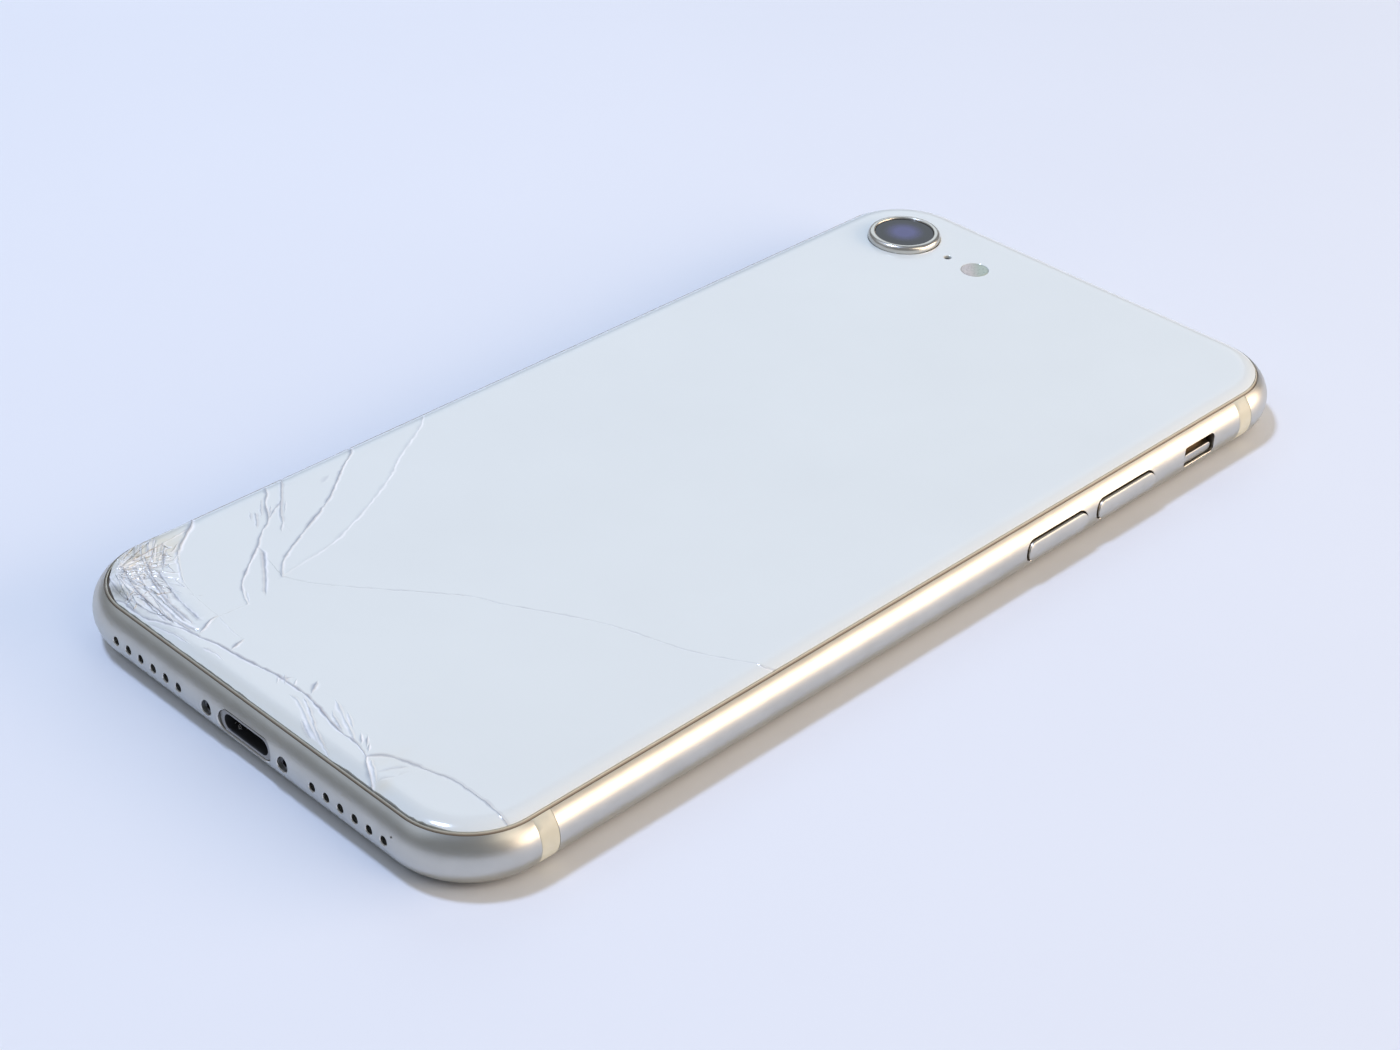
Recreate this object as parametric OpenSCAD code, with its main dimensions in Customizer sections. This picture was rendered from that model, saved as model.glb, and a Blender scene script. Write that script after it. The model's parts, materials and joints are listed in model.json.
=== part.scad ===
// Smartphone with a cracked rear glass, lying on its screen.
// +Z points out of the rear glass, +Y towards the rear camera, -Y towards the charge port.

/* [Body] */
// Width of the body, across the rounded sides
body_w = 67.3; // [62:0.1:84]
// Length of the body
body_l = 138.4; // [114:0.1:168]
// Thickness of the body without the camera ring
body_t = 7.3; // [7.1:0.1:9]
// Radius of the body's corners in plan
corner_r = 10.2; // [9:0.1:12.5]
// Thickness of the metal band at mid height
band_wall = 2.65; // [2.4:0.05:3.2]
// How far the band's seats for the glasses lie inside the outline
seat_inset = 1.5; // [1.3:0.05:1.8]
// Width of the gasket between a glass and the band
gasket_w = 0.36; // [0.2:0.02:0.5]
// Clearance between parts that are bonded or only fit
fit_gap = 0.02; // [0.01:0.01:0.05]
// Height of the buttons, port, tray and holes above the front glass
feature_z = 3.75; // [3.4:0.05:4.4]

/* [Antenna bands] */
// Width of each plastic antenna band
band_w = 2.4; // [1.5:0.1:3.5]
// Distance from the end of the body to the near side of a band
band_from_end = 10.4; // [10.2:0.1:12.6]
// Metal left inside each plastic band
band_web = 0.6; // [0.4:0.1:1]

/* [Glass stack] */
// Thickness of the rear glass
rear_glass_t = 0.8; // [0.6:0.05:1]
// Thickness of the adhesive film under the rear glass
adhesive_t = 0.2; // [0.1:0.05:0.3]
// Thickness of the steel back plate
plate_t = 0.4; // [0.3:0.05:0.5]
// Thickness of the front glass
front_glass_t = 0.8; // [0.6:0.05:1]
// Thickness of the liquid crystal panel
panel_t = 0.8; // [0.6:0.05:1]
// Thickness of the backlight
backlight_t = 0.55; // [0.4:0.05:0.7]
// Thickness of the display's steel shield
shield_t = 0.2; // [0.15:0.05:0.3]
// Width of the display's plastic bezel frame
bezel_w = 1.3; // [1:0.1:1.6]
// Glass beyond the panel at each long side
panel_side = 4.4; // [4.2:0.1:5]
// Glass beyond the panel at each end
panel_end = 17; // [16:0.1:19]

/* [Cracks] */
// Width of the cracks between the pieces of rear glass
crack_w = 0.06; // [0.04:0.01:0.12]

/* [Rear camera] */
// Distance of the camera's axis from the side of the body
camera_side = 10.75; // [10:0.05:13]
// Distance of the camera's axis from the top end of the body
camera_end = 11.1; // [10.5:0.05:13]
// Outer radius of the camera ring
ring_r = 4.85; // [4.5:0.05:5.4]
// Height of the camera ring above the rear glass
ring_proud = 0.95; // [0.6:0.05:1.4]
// Radius of the lens window
window_r = 3.95; // [3.6:0.05:4.1]
// Thickness of the lens window
window_t = 0.5; // [0.4:0.05:0.6]
// Radius of the lens barrel
barrel_r = 3.2; // [2.6:0.05:3.3]
// Autofocus travel of the lens barrel
focus_travel = 0.2; // [0.1:0.05:0.3]
// Side of the square camera housing
camera_box = 10.6; // [9.5:0.1:11]
// Distance from the camera's axis to the rear microphone
mic_offset = 7.7; // [7:0.1:8.5]
// Distance from the camera's axis to the flash
flash_offset = 12.4; // [11.8:0.1:13.5]
// Radius of the flash lens
flash_r = 1.8; // [1.6:0.1:2.4]
// Radius of the rear microphone hole
mic_r = 0.5; // [0.3:0.05:0.7]

/* [Side controls] */
// Height of a button's cap
button_h = 2.4; // [2.2:0.1:2.8]
// Length of a button's cap
button_len = 10.8; // [9:0.1:12]
// How far a button stands out of the side
button_proud = 0.25; // [0.1:0.05:0.4]
// Travel of a button
button_travel = 0.25; // [0.15:0.05:0.3]
// Distance from the top end to the middle of the volume up button
volume_up_end = 35.6; // [35:0.1:39]
// Metal between the two volume buttons
volume_gap = 2; // [1:0.1:6]
// Distance from the top end to the middle of the side button
side_button_end = 35; // [30:0.1:38]
// Distance from the top end to the middle of the mute switch
mute_end = 21; // [18.5:0.1:24]
// Length of the mute switch slot
mute_len = 6; // [5:0.1:7]
// Travel of the mute switch across the slot
mute_travel = 1; // [0.8:0.05:1.25]
// Radius of the pins behind the buttons and the mute switch
pin_r = 0.45; // [0.35:0.05:0.5]
// Radial clearance of those pins
pin_gap = 0.05; // [0.02:0.01:0.08]

/* [SIM tray] */
// Length of the tray's face
tray_len = 14.6; // [13.5:0.1:16]
// Height of the tray's face
tray_h = 2.4; // [2:0.1:2.6]
// Depth of the tray behind its face
tray_depth = 14; // [13:0.1:15]
// Thickness of the tray's plate
tray_t = 1; // [0.8:0.05:1.1]
// Distance from the top end to the middle of the tray
tray_end = 59; // [57:0.1:61]
// Radius of the eject hole
eject_r = 0.5; // [0.4:0.05:0.6]

/* [Port end] */
// Width of the opening in the band for the charge port
port_w = 8.8; // [8.4:0.1:9.4]
// Height of that opening
port_h = 2.7; // [2.4:0.05:2.9]
// Thickness of the port's liner
port_wall = 0.35; // [0.25:0.05:0.4]
// Depth of the socket for the plug
port_depth = 7; // [6:0.1:7.4]
// Number of sound holes on each side of the port
hole_count = 6; // [2:1:6]
// Distance between sound holes
hole_pitch = 2.22; // [1.6:0.02:2.3]
// Distance of the first sound hole from the middle
hole_first = 11.15; // [10.5:0.05:12]
// Radius of a sound hole
hole_r = 0.5; // [0.35:0.05:0.6]
// Distance of each bottom screw from the middle
screw_x = 6.35; // [6.2:0.05:7]
// Radius of a bottom screw's head
screw_head_r = 0.8; // [0.6:0.05:0.9]

/* [Front] */
// Radius of the home button's sapphire
home_r = 4.7; // [4.2:0.05:5]
// Width of the metal ring around it
home_ring_w = 0.75; // [0.5:0.05:0.8]
// Distance from the port end to the home button
home_end = 9.6; // [9:0.1:10]
// Distance from the top end to the earpiece slot
earpiece_end = 6.7; // [6:0.1:7.5]
// Length of the earpiece slot
earpiece_len = 11; // [8:0.1:12]
// Height of the earpiece slot
earpiece_h = 1.3; // [1:0.05:1.5]

/* [Inside] */
// Room between the display and the inner parts, and between neighbours
inner_gap = 0.15; // [0.1:0.01:0.3]
// Width of the bay beside the battery that holds the logic board
board_bay = 20.5; // [19.5:0.1:22]
// Length of the bay at the top end, above the battery
top_bay = 20; // [19.5:0.1:22]
// Length of the bay at the port end, below the battery
bottom_bay = 21.5; // [21:0.1:23]
// Thickness of the logic board
board_t = 0.7; // [0.5:0.05:0.9]
// Outer radius of the charging coil
coil_r = 23; // [18:0.5:24]
// Inner radius of the charging coil
coil_hole_r = 11; // [6:0.5:14]
// Wall of the haptic motor's housing
motor_wall = 0.4; // [0.3:0.05:0.5]
// Travel of the haptic mass to each side
motor_travel = 0.4; // [0.2:0.05:0.6]

/* [Hidden] */
$fn = 96;

// Past: how far a cutting shape runs beyond what it cuts
past = 1;
// Outline of the body
half_w = body_w / 2;
half_l = body_l / 2;
edge_r = body_t / 2;
// Insets of the glasses, and the inside faces of the band
glass_inset = seat_inset + gasket_w;
wall_x = half_w - band_wall;
wall_y = half_l - band_wall;
// Levels, from the front glass up to the rear glass
panel_z = front_glass_t;
backlight_z = panel_z + panel_t;
shield_z = backlight_z + backlight_t;
inner_z = shield_z + shield_t + inner_gap;
rear_glass_z = body_t - rear_glass_t;
adhesive_z = rear_glass_z - adhesive_t;
plate_z = adhesive_z - plate_t;
// Camera, flash and microphone
camera_x = camera_side - half_w;
camera_y = half_l - camera_end;
window_z = body_t + ring_proud - window_t - 0.2;
window_seat = 0.5;
barrel_z = inner_z + 1;
// Button caps, pins and flanges; the volume down button's middle lies this far from the top end
volume_down_end = volume_up_end + button_len + volume_gap;
pocket_gap = 0.1;
button_gap = 0.2;
pocket_x = half_w - 1.35;
cap_x = pocket_x + button_travel + 0.05;
flange_t = 0.3;
flange_r = 0.8;
pin_pitch = 6;
switch_gap = 0.3;
switch_t = 0.9;
mute_cap_h = 1.3;
mute_gap = 0.15;
mute_corner_r = 0.55;
mute_cap_len = mute_len - 0.8;
mute_cap_x = half_w - 0.35;
mute_rest_z = feature_z - mute_travel / 2;
// SIM tray: its plate lies to one side of the eject hole
tray_y = half_l - tray_end;
tray_face_t = 1.5;
tray_face_x = half_w - tray_face_t;
tray_plate_len = tray_len - 3;
tray_plate_shift = -0.9;
tray_pocket = [12.3, 8.8];
eject_y = tray_len / 2 - tray_h / 2 - 0.1;
reader_wall = 0.3;
// Port, screws and meshes
port_in = 0.35;
port_back = 1.4;
port_y = -half_l + port_in;
contact_pitch = 0.65;
contact_count = 8;
mesh_t = 0.2;
screw_r = 0.5;
screw_len = 3.6;
screw_seat_y = -half_l + 1.3;
// Battery bay
battery_lo = [-wall_x + board_bay, -wall_y + bottom_bay];
battery_hi = [wall_x - 2.2, wall_y - top_bay];
strip_t = 0.35;
battery_top = plate_z - strip_t;
board_z = battery_top - board_t;
board_x = 1.7 - wall_x;
board_low = -wall_y + bottom_bay + 14;

// Colours
metal = [0.80, 0.76, 0.66];
bright = [0.88, 0.85, 0.78];
band_plastic = [0.87, 0.84, 0.74];
milk_glass = [0.86, 0.90, 0.91];
dark = [0.10, 0.10, 0.12];
steel = [0.66, 0.67, 0.69];
green_board = [0.10, 0.26, 0.20];
copper = [0.72, 0.45, 0.28];

// ---- Shapes used by many pieces ----

// Section through the body: flat faces and full round sides
module edge_section(w) {
    translate([edge_r - w / 2, 0]) square([w - body_t, body_t]);
    for (s = [-1, 1]) translate([s * (w / 2 - edge_r), edge_r]) circle(edge_r);
}

// Quarter of a corner, turned about the corner's centre
module corner_quarter(turn) {
    rotate([0, 0, turn]) rotate_extrude(angle = 90) {
        square([corner_r - edge_r, body_t]);
        intersection() {
            translate([corner_r - edge_r, edge_r]) circle(edge_r);
            translate([corner_r - edge_r, 0]) square([edge_r, body_t]);
        }
    }
}

// The whole outside of the body
module body_solid() {
    rotate([90, 0, 0]) linear_extrude(body_l - 2 * corner_r, center = true) edge_section(body_w);
    rotate([90, 0, 90]) linear_extrude(body_w - 2 * corner_r, center = true) edge_section(body_l);
    for (i = [0:3]) {
        sx = (i == 0 || i == 3) ? 1 : -1;
        sy = i < 2 ? 1 : -1;
        translate([sx * (half_w - corner_r), sy * (half_l - corner_r), 0]) corner_quarter(90 * i);
    }
}

// Outline that lies a given distance inside the body's outline
module inset_outline(inset) {
    r = max(corner_r - inset, 1);
    w = body_w - 2 * inset;
    l = body_l - 2 * inset;
    square([w - 2 * r, l], center = true);
    square([w, l - 2 * r], center = true);
    for (sx = [-1, 1], sy = [-1, 1]) translate([sx * (w / 2 - r), sy * (l / 2 - r)]) circle(r);
}

module inset_plate(inset, z0, z1) {
    translate([0, 0, z0]) linear_extrude(z1 - z0) inset_outline(inset);
}

// Flat bar outline with round ends
module pill(len, h) {
    square([len - h, h], center = true);
    for (s = [-1, 1]) translate([s * (len - h) / 2, 0]) circle(h / 2);
}

// Flat bar outline with rounded corners
module slot(len, h, r) {
    square([len - 2 * r, h], center = true);
    square([len, h - 2 * r], center = true);
    for (sx = [-1, 1], sy = [-1, 1]) translate([sx * (len / 2 - r), sy * (h / 2 - r)]) circle(r);
}

// Extrudes a shape drawn in Y and Z along X, from x0 to x1
module along_x(x0, x1, y, z) {
    translate([x0, y, z]) rotate([90, 0, 90]) linear_extrude(x1 - x0) children();
}

// Extrudes a shape drawn in X and Z along Y, from y0 to y1
module along_y(y0, y1, x, z) {
    translate([x, y1, z]) rotate([90, 0, 0]) linear_extrude(y1 - y0) children();
}

module block(lo, hi) {
    translate(lo) cube(hi - lo);
}

// ---- Band, antenna bands and gaskets ----

module band_slabs(grow = 0) {
    for (sy = [-1, 1], sx = [-1, 1]) {
        y = sy * (half_l - band_from_end - band_w / 2);
        x0 = sx > 0 ? wall_x + band_web : -half_w - past;
        x1 = sx > 0 ? half_w + past : -wall_x - band_web;
        block([x0, y - band_w / 2 - grow, -past], [x1, y + band_w / 2 + grow, body_t + past]);
    }
}

module band_ring() {
    difference() {
        body_solid();
        inset_plate(seat_inset, -past, front_glass_t);
        inset_plate(seat_inset, adhesive_z, body_t + past);
        inset_plate(band_wall, front_glass_t / 2, body_t - rear_glass_t / 2);
    }
}

// Pocket and pin holes for a button whose middle is at y, on the +X side
module button_cut(y) {
    along_x(pocket_x, half_w + past, y, feature_z)
        pill(button_len + 2 * button_gap, button_h + 2 * button_gap);
    for (s = [-1, 1])
        along_x(wall_x - past, half_w, y + s * pin_pitch / 2, feature_z) circle(pin_r + pin_gap);
}

module mute_cut() {
    y = half_l - mute_end;
    along_x(pocket_x, half_w + past, y, feature_z)
        slot(mute_len, mute_cap_h + mute_travel + 2 * mute_gap, mute_corner_r);
    along_x(wall_x - past, half_w, y, feature_z)
        rotate(90) pill(mute_travel + 2 * (pin_r + pin_gap), 2 * (pin_r + pin_gap));
}

// Slot for the tray's face and plate, and the way in for the eject pin, drawn on the +X side
module tray_cut() {
    along_x(tray_face_x, half_w + past, tray_y, feature_z)
        pill(tray_len + 2 * pocket_gap, tray_h + 2 * pocket_gap);
    along_x(wall_x - past, half_w, tray_y + tray_plate_shift, feature_z)
        square([tray_plate_len + 2 * pocket_gap, tray_t + 2 * pocket_gap], center = true);
    along_x(wall_x - past, half_w, tray_y + eject_y, feature_z) circle(eject_r);
}

module port_end_cuts() {
    along_y(-half_l - past, -wall_y + past, 0, feature_z) pill(port_w, port_h);
    for (s = [-1, 1]) {
        for (i = [0:hole_count - 1])
            along_y(-half_l - past, -wall_y + past, s * (hole_first + i * hole_pitch), feature_z)
                circle(hole_r);
        along_y(-half_l - past, -wall_y + past, s * screw_x, feature_z) circle(screw_r + pin_gap);
        along_y(-half_l - past, screw_seat_y, s * screw_x, feature_z) circle(screw_head_r + pin_gap);
    }
}

module frame() {
    color(metal) difference() {
        band_ring();
        band_slabs(fit_gap);
        button_cut(half_l - volume_up_end);
        button_cut(half_l - volume_down_end);
        mute_cut();
        mirror([1, 0, 0]) button_cut(half_l - side_button_end);
        mirror([1, 0, 0]) tray_cut();
        port_end_cuts();
    }
}

module antenna_bands() {
    color(band_plastic) intersection() {
        band_ring();
        band_slabs();
    }
}

module rear_gasket() {
    color(dark) intersection() {
        body_solid();
        difference() {
            inset_plate(seat_inset + fit_gap, adhesive_z, body_t);
            inset_plate(glass_inset - fit_gap, adhesive_z - past, body_t + past);
        }
    }
}

module front_gasket() {
    color(dark) intersection() {
        body_solid();
        difference() {
            inset_plate(seat_inset + fit_gap, 0, front_glass_t);
            inset_plate(glass_inset - fit_gap, -past, front_glass_t + past);
        }
    }
}

// ---- Rear glass and its cracks ----

// Lower corners of the rear glass: crack points count from these
left_x = glass_inset - half_w;
right_x = half_w - glass_inset;
low_y = glass_inset - half_l;
function from_left(p) = [left_x + p[0], low_y + p[1]];
function from_right(p) = [right_x - p[0], low_y + p[1]];
function left_points(list) = [for (p = list) from_left(p)];
function right_points(list) = [for (p = list) from_right(p)];
function reversed(list) = [for (i = [len(list) - 1:-1:0]) list[i]];

// Where the long cracks meet, inside the pane
hub = from_left([16, 15.5]);
fork = from_left([11.3, 16.2]);
tip = from_left([18.3, 9.5]);
knee = from_left([17.5, 6]);
low_left = from_left([19, 2.2]);
low_right = from_right([16.8, 2.4]);

// Cracks from the left edge, each ending at one of those points
crack_a = left_points([[-2, 49.5], [1.8, 47], [4, 43], [7.3, 38], [11.3, 31], [14.3, 24], [15.2, 19]]);
crack_b = left_points([[-2, 38.5], [1.3, 36.8], [4.3, 32.3], [7.8, 27.7], [11, 21.6], [13.3, 17.8]]);
crack_c = left_points([[-2, 29], [1, 27], [4.8, 24], [7.3, 22.2]]);
crack_d = left_points([[-2, 25.6], [1.8, 24.2], [5.8, 20.9], [9.6, 17.3]]);
crack_d2 = left_points([[13.3, 12.8], [15.3, 10.4]]);
crack_f = left_points([[-2, 15.8], [1.8, 13.8], [3.8, 11.2], [5.8, 8.9], [9.2, 7.2], [12.8, 6.3]]);
// Cracks along the port end, from left to right
crack_g1 = left_points([[5, -2], [7.3, 0.6], [11.8, 0.4], [13.8, 1]]);
crack_g2 = concat(left_points([[21.8, 3], [27.8, 3.9], [31.8, 4.2]]),
                  right_points([[26, 3.9], [23.6, 3.2], [19.8, 2.7]]));
crack_g3 = right_points([[15.2, 1.3], [13.6, 0.2], [12.2, -2]]);
// Curved crack round the right-hand lower corner
crack_j = right_points([[16.2, 4], [13.6, 5.2], [10.6, 6], [6, 6.4], [1.5, 6.2], [-2, 5.8]]);
// Long hairline from the hub up to the right edge
crack_k = concat(left_points([[20.5, 18], [31.8, 27.3]]),
                 right_points([[27.2, 29.7], [17.6, 35], [7.8, 38.3], [0.8, 42.2], [-2, 44]]));

cracks = [
    concat(crack_a, [hub]),
    concat(crack_b, [hub]),
    concat(crack_c, [crack_b[4]]),
    concat(crack_d, [fork], [hub]),
    concat([fork], crack_d2, [tip], [knee]),
    concat(crack_f, [knee]),
    [knee, low_left],
    concat(crack_g1, [low_left], crack_g2, [low_right], crack_g3),
    concat([low_right], crack_j),
    concat([hub], crack_k)];

far = 200;

// Strip along one straight stretch of a crack
module crack_strip(a, b) {
    along = (b - a) / norm(b - a) * crack_w / 2;
    side = [-along[1], along[0]];
    polygon([a - along + side, a - along - side, b + along - side, b + along + side]);
}

module crack_lines() {
    for (c = cracks, i = [0:len(c) - 2]) crack_strip(c[i], c[i + 1]);
}

module rear_glass_solid() {
    difference() {
        intersection() {
            body_solid();
            inset_plate(glass_inset, rear_glass_z, body_t + past);
        }
        rear_holes(rear_glass_z - past, body_t + past);
    }
}

// Holes for the camera ring, the microphone and the flash
module rear_holes(z0, z1) {
    translate([camera_x, camera_y, z0]) cylinder(h = z1 - z0, r = ring_r + fit_gap);
    translate([camera_x + mic_offset, camera_y, z0]) cylinder(h = z1 - z0, r = mic_r);
    translate([camera_x + flash_offset, camera_y, z0]) cylinder(h = z1 - z0, r = flash_r + fit_gap);
}

// One piece of the cracked pane: what lies inside an outline, less the crack gaps
module glass_piece(outline) {
    color(milk_glass) intersection() {
        rear_glass_solid();
        translate([0, 0, rear_glass_z - past]) linear_extrude(rear_glass_t + 2 * past) difference() {
            polygon(outline);
            crack_lines();
        }
    }
}

module rear_glass() {
    glass_piece(concat(crack_a, [hub], crack_k, [[far, far], [-far, far]]));
}

module glass_shard_lower() {
    glass_piece(concat([hub], crack_k, reversed(crack_j), [low_right], reversed(crack_g2),
                       [low_left], [knee], [tip], reversed(crack_d2), [fork]));
}

module glass_shard_1() {
    glass_piece(concat(crack_a, [hub], reversed(crack_b)));
}

module glass_shard_2() {
    glass_piece(concat([for (i = [0:4]) crack_b[i]], reversed(crack_c)));
}

module glass_shard_3() {
    glass_piece(concat(crack_c, [crack_b[4]], [crack_b[5]], [hub], [fork], reversed(crack_d)));
}

module glass_shard_4() {
    glass_piece(concat(crack_d, [fork], crack_d2, [tip], [knee], reversed(crack_f)));
}

module glass_shard_corner() {
    glass_piece(concat(crack_f, [knee], [low_left], reversed(crack_g1), [[-far, -far]]));
}

module glass_shard_bottom() {
    glass_piece(concat(crack_g1, [low_left], crack_g2, [low_right], crack_g3));
}

module glass_shard_right() {
    glass_piece(concat([low_right], crack_j, [[far, -far]], reversed(crack_g3)));
}

module glass_adhesive() {
    color("dimgray") difference() {
        inset_plate(glass_inset + fit_gap, adhesive_z, rear_glass_z);
        rear_holes(adhesive_z - past, rear_glass_z + past);
    }
}

module back_plate() {
    color(steel) difference() {
        inset_plate(band_wall + fit_gap, plate_z, adhesive_z);
        rear_holes(plate_z - past, adhesive_z + past);
        translate([0, 0, plate_z - past]) cylinder(h = plate_t + 2 * past, r = coil_r + 2 * inner_gap);
    }
}

module charging_coil() {
    color(copper) translate([0, 0, plate_z + 0.05]) difference() {
        cylinder(h = plate_t - 0.05, r = coil_r);
        translate([0, 0, -past]) cylinder(h = plate_t + 2 * past, r = coil_hole_r);
    }
}

module coil_ferrite() {
    color(dark) translate([0, 0, battery_top + 0.1])
        cylinder(h = strip_t - 0.05, r = coil_r + inner_gap);
}

// ---- Rear camera, flash and microphone ----

module camera_ring() {
    top = body_t + ring_proud;
    color(bright) translate([camera_x, camera_y, 0]) rotate_extrude() polygon([
        [window_r - window_seat, plate_z], [ring_r, plate_z], [ring_r, top - 0.35],
        [ring_r - 0.35, top], [window_r + fit_gap, top], [window_r + fit_gap, window_z],
        [window_r - window_seat, window_z]]);
}

module camera_window() {
    color(dark) translate([camera_x, camera_y, window_z]) cylinder(h = window_t, r = window_r);
}

module rear_camera() {
    color(dark) difference() {
        translate([camera_x, camera_y, (inner_z + plate_z) / 2])
            cube([camera_box, camera_box, plate_z - inner_z], center = true);
        translate([camera_x, camera_y, barrel_z]) cylinder(h = body_t, r = barrel_r + 2 * pin_gap);
    }
}

module camera_lens() {
    color(dark) translate([camera_x, camera_y, barrel_z])
        cylinder(h = window_z - focus_travel - inner_gap - barrel_z, r = barrel_r);
}

module flash_lens() {
    color([0.80, 0.78, 0.70]) translate([camera_x + flash_offset, camera_y, adhesive_z])
        cylinder(h = body_t - adhesive_z, r = flash_r);
}

module flash_led() {
    side = sqrt(2) * (flash_r - inner_gap);
    color([0.9, 0.85, 0.4]) translate([camera_x + flash_offset, camera_y, (plate_z + adhesive_z) / 2])
        cube([side, side, plate_t], center = true);
    color(dark) translate([camera_x + flash_offset, camera_y, plate_z - 0.4])
        cube([side + 2, side + 2, 0.8], center = true);
}

module rear_microphone() {
    color(steel) translate([camera_x + mic_offset, camera_y, plate_z - 0.5])
        cube([2.2, 3, 1], center = true);
}

// ---- Display side ----

module front_glass() {
    color(dark) difference() {
        intersection() {
            body_solid();
            inset_plate(glass_inset, 0, front_glass_t);
        }
        translate([0, home_end - half_l, -past])
            cylinder(h = front_glass_t + 2 * past, r = home_r + home_ring_w + fit_gap);
        translate([0, half_l - earpiece_end, -past]) linear_extrude(front_glass_t + 2 * past)
            pill(earpiece_len, earpiece_h);
    }
}

module display_bezel() {
    outer = band_wall + 0.1;
    color(dark) difference() {
        inset_plate(outer, front_glass_t, shield_z);
        inset_plate(outer + bezel_w, front_glass_t - past, shield_z + past);
        panel_block(inner_gap, front_glass_t - past, shield_z + past);
        home_bracket_block(inner_gap, front_glass_t - past, shield_z + past);
    }
}

module panel_block(grow, z0, z1) {
    block([panel_side - half_w - grow, panel_end - half_l - grow, z0],
          [half_w - panel_side + grow, half_l - panel_end + grow, z1]);
}

module lcd_panel() {
    color("darkslategray") panel_block(0, panel_z, backlight_z);
}

module backlight() {
    color("white") panel_block(0, backlight_z, shield_z);
}

module display_shield() {
    color(steel) panel_block(0.5, shield_z, shield_z + shield_t);
}

module home_button() {
    color("whitesmoke") translate([0, home_end - half_l, 0.1])
        cylinder(h = front_glass_t - 0.1, r = home_r);
}

module home_button_ring() {
    color(bright) translate([0, home_end - half_l, 0]) difference() {
        cylinder(h = front_glass_t, r = home_r + home_ring_w);
        translate([0, 0, -past]) cylinder(h = front_glass_t + 2 * past, r = home_r + fit_gap);
    }
}

module home_bracket_block(grow, z0, z1) {
    reach = [7.5 + grow, 5.7 + grow];
    middle = home_end - half_l + 0.6;
    block([-reach[0], middle - reach[1], z0], [reach[0], middle + reach[1], z1]);
}

module home_button_bracket() {
    color(steel) home_bracket_block(0, front_glass_t, shield_z);
}

module earpiece_mesh() {
    color("dimgray") translate([0, half_l - earpiece_end, front_glass_t - 0.3])
        linear_extrude(0.3) pill(earpiece_len - 2 * fit_gap, earpiece_h - 2 * fit_gap);
}

module earpiece_speaker() {
    size = [14, 3.6];
    y = half_l - earpiece_end;
    color(dark) union() {
        block([-size[0] / 2, y - size[1] / 2, front_glass_t], [size[0] / 2, y + 2, inner_z]);
        block([-size[0] / 2, y - 5.5, inner_z], [size[0] / 2, y + 2, inner_z + 2.2]);
    }
}

module front_camera() {
    x = 12.5;
    y = half_l - earpiece_end;
    color(dark) union() {
        translate([x, y, front_glass_t]) cylinder(h = inner_z - front_glass_t, r = 1.9);
        translate([x - 2.8, y - 3.2, inner_z]) cube([5.6, 5.2, 2]);
    }
}

module proximity_sensor() {
    y = half_l - earpiece_end;
    color(dark) block([-13.5, y - 1.2, front_glass_t], [-9, y + 1.2, inner_z]);
}

// ---- Side controls ----

// Button with its cap, two pins and their flanges, drawn on the +X side with its middle at y
module push_button(y) {
    along_x(cap_x, half_w + button_proud, y, feature_z) pill(button_len, button_h);
    for (s = [-1, 1]) {
        along_x(wall_x - flange_t, cap_x, y + s * pin_pitch / 2, feature_z) circle(pin_r);
        along_x(wall_x - flange_t, wall_x, y + s * pin_pitch / 2, feature_z) circle(flange_r);
    }
}

// Two dome switches on a bracket behind a button
module dome_switches(y) {
    x1 = wall_x - flange_t - switch_gap;
    for (s = [-1, 1]) along_x(x1 - 0.3, x1, y + s * pin_pitch / 2, feature_z) circle(1);
    block([x1 - switch_t, y - button_len / 2, inner_z], [x1 - 0.3, y + button_len / 2, plate_z]);
}

module volume_up_button() {
    color(metal) push_button(half_l - volume_up_end);
}

module volume_down_button() {
    color(metal) push_button(half_l - volume_down_end);
}

module side_button() {
    color(metal) mirror([1, 0, 0]) push_button(half_l - side_button_end);
}

module volume_switches() {
    x1 = wall_x - flange_t - switch_gap - 0.3;
    y0 = half_l - volume_down_end;
    y1 = half_l - volume_up_end;
    color(steel) {
        dome_switches(y0);
        dome_switches(y1);
        block([x1 - switch_t + 0.3, y0, inner_z], [x1, y1, plate_z]);
    }
}

module side_switch() {
    color(steel) mirror([1, 0, 0]) dome_switches(half_l - side_button_end);
}

module mute_switch() {
    y = half_l - mute_end;
    color(metal) union() {
        along_x(pocket_x + 0.05, mute_cap_x, y, mute_rest_z)
            slot(mute_cap_len, mute_cap_h, mute_corner_r);
        along_x(wall_x - 2 * flange_t, mute_cap_x, y, mute_rest_z) circle(pin_r);
    }
}

module mute_switch_base() {
    y = half_l - mute_end;
    x1 = wall_x - 2 * flange_t - switch_gap;
    color(dark) block([x1 - 1.1, y - 3.2, inner_z], [x1, y + 3.2, plate_z]);
}

// ---- SIM tray ----

// Drawn on the +X side; the part has it mirrored to the -X side
module tray_shape() {
    difference() {
        union() {
            intersection() {
                body_solid();
                along_x(tray_face_x, half_w + past, tray_y, feature_z) pill(tray_len, tray_h);
            }
            along_x(half_w - tray_face_t - tray_depth, tray_face_x, tray_y + tray_plate_shift, feature_z)
                square([tray_plate_len, tray_t], center = true);
        }
        translate([half_w - tray_face_t - tray_depth + 1.6, tray_y + tray_plate_shift, feature_z - 0.3])
            translate([0, -tray_pocket[1] / 2, 0]) cube([tray_pocket[0] - 1, tray_pocket[1], tray_t]);
        along_x(tray_face_x - past, half_w + past, tray_y + eject_y, feature_z) circle(eject_r);
    }
}

module sim_tray() {
    color(metal) mirror([1, 0, 0]) tray_shape();
}

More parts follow.
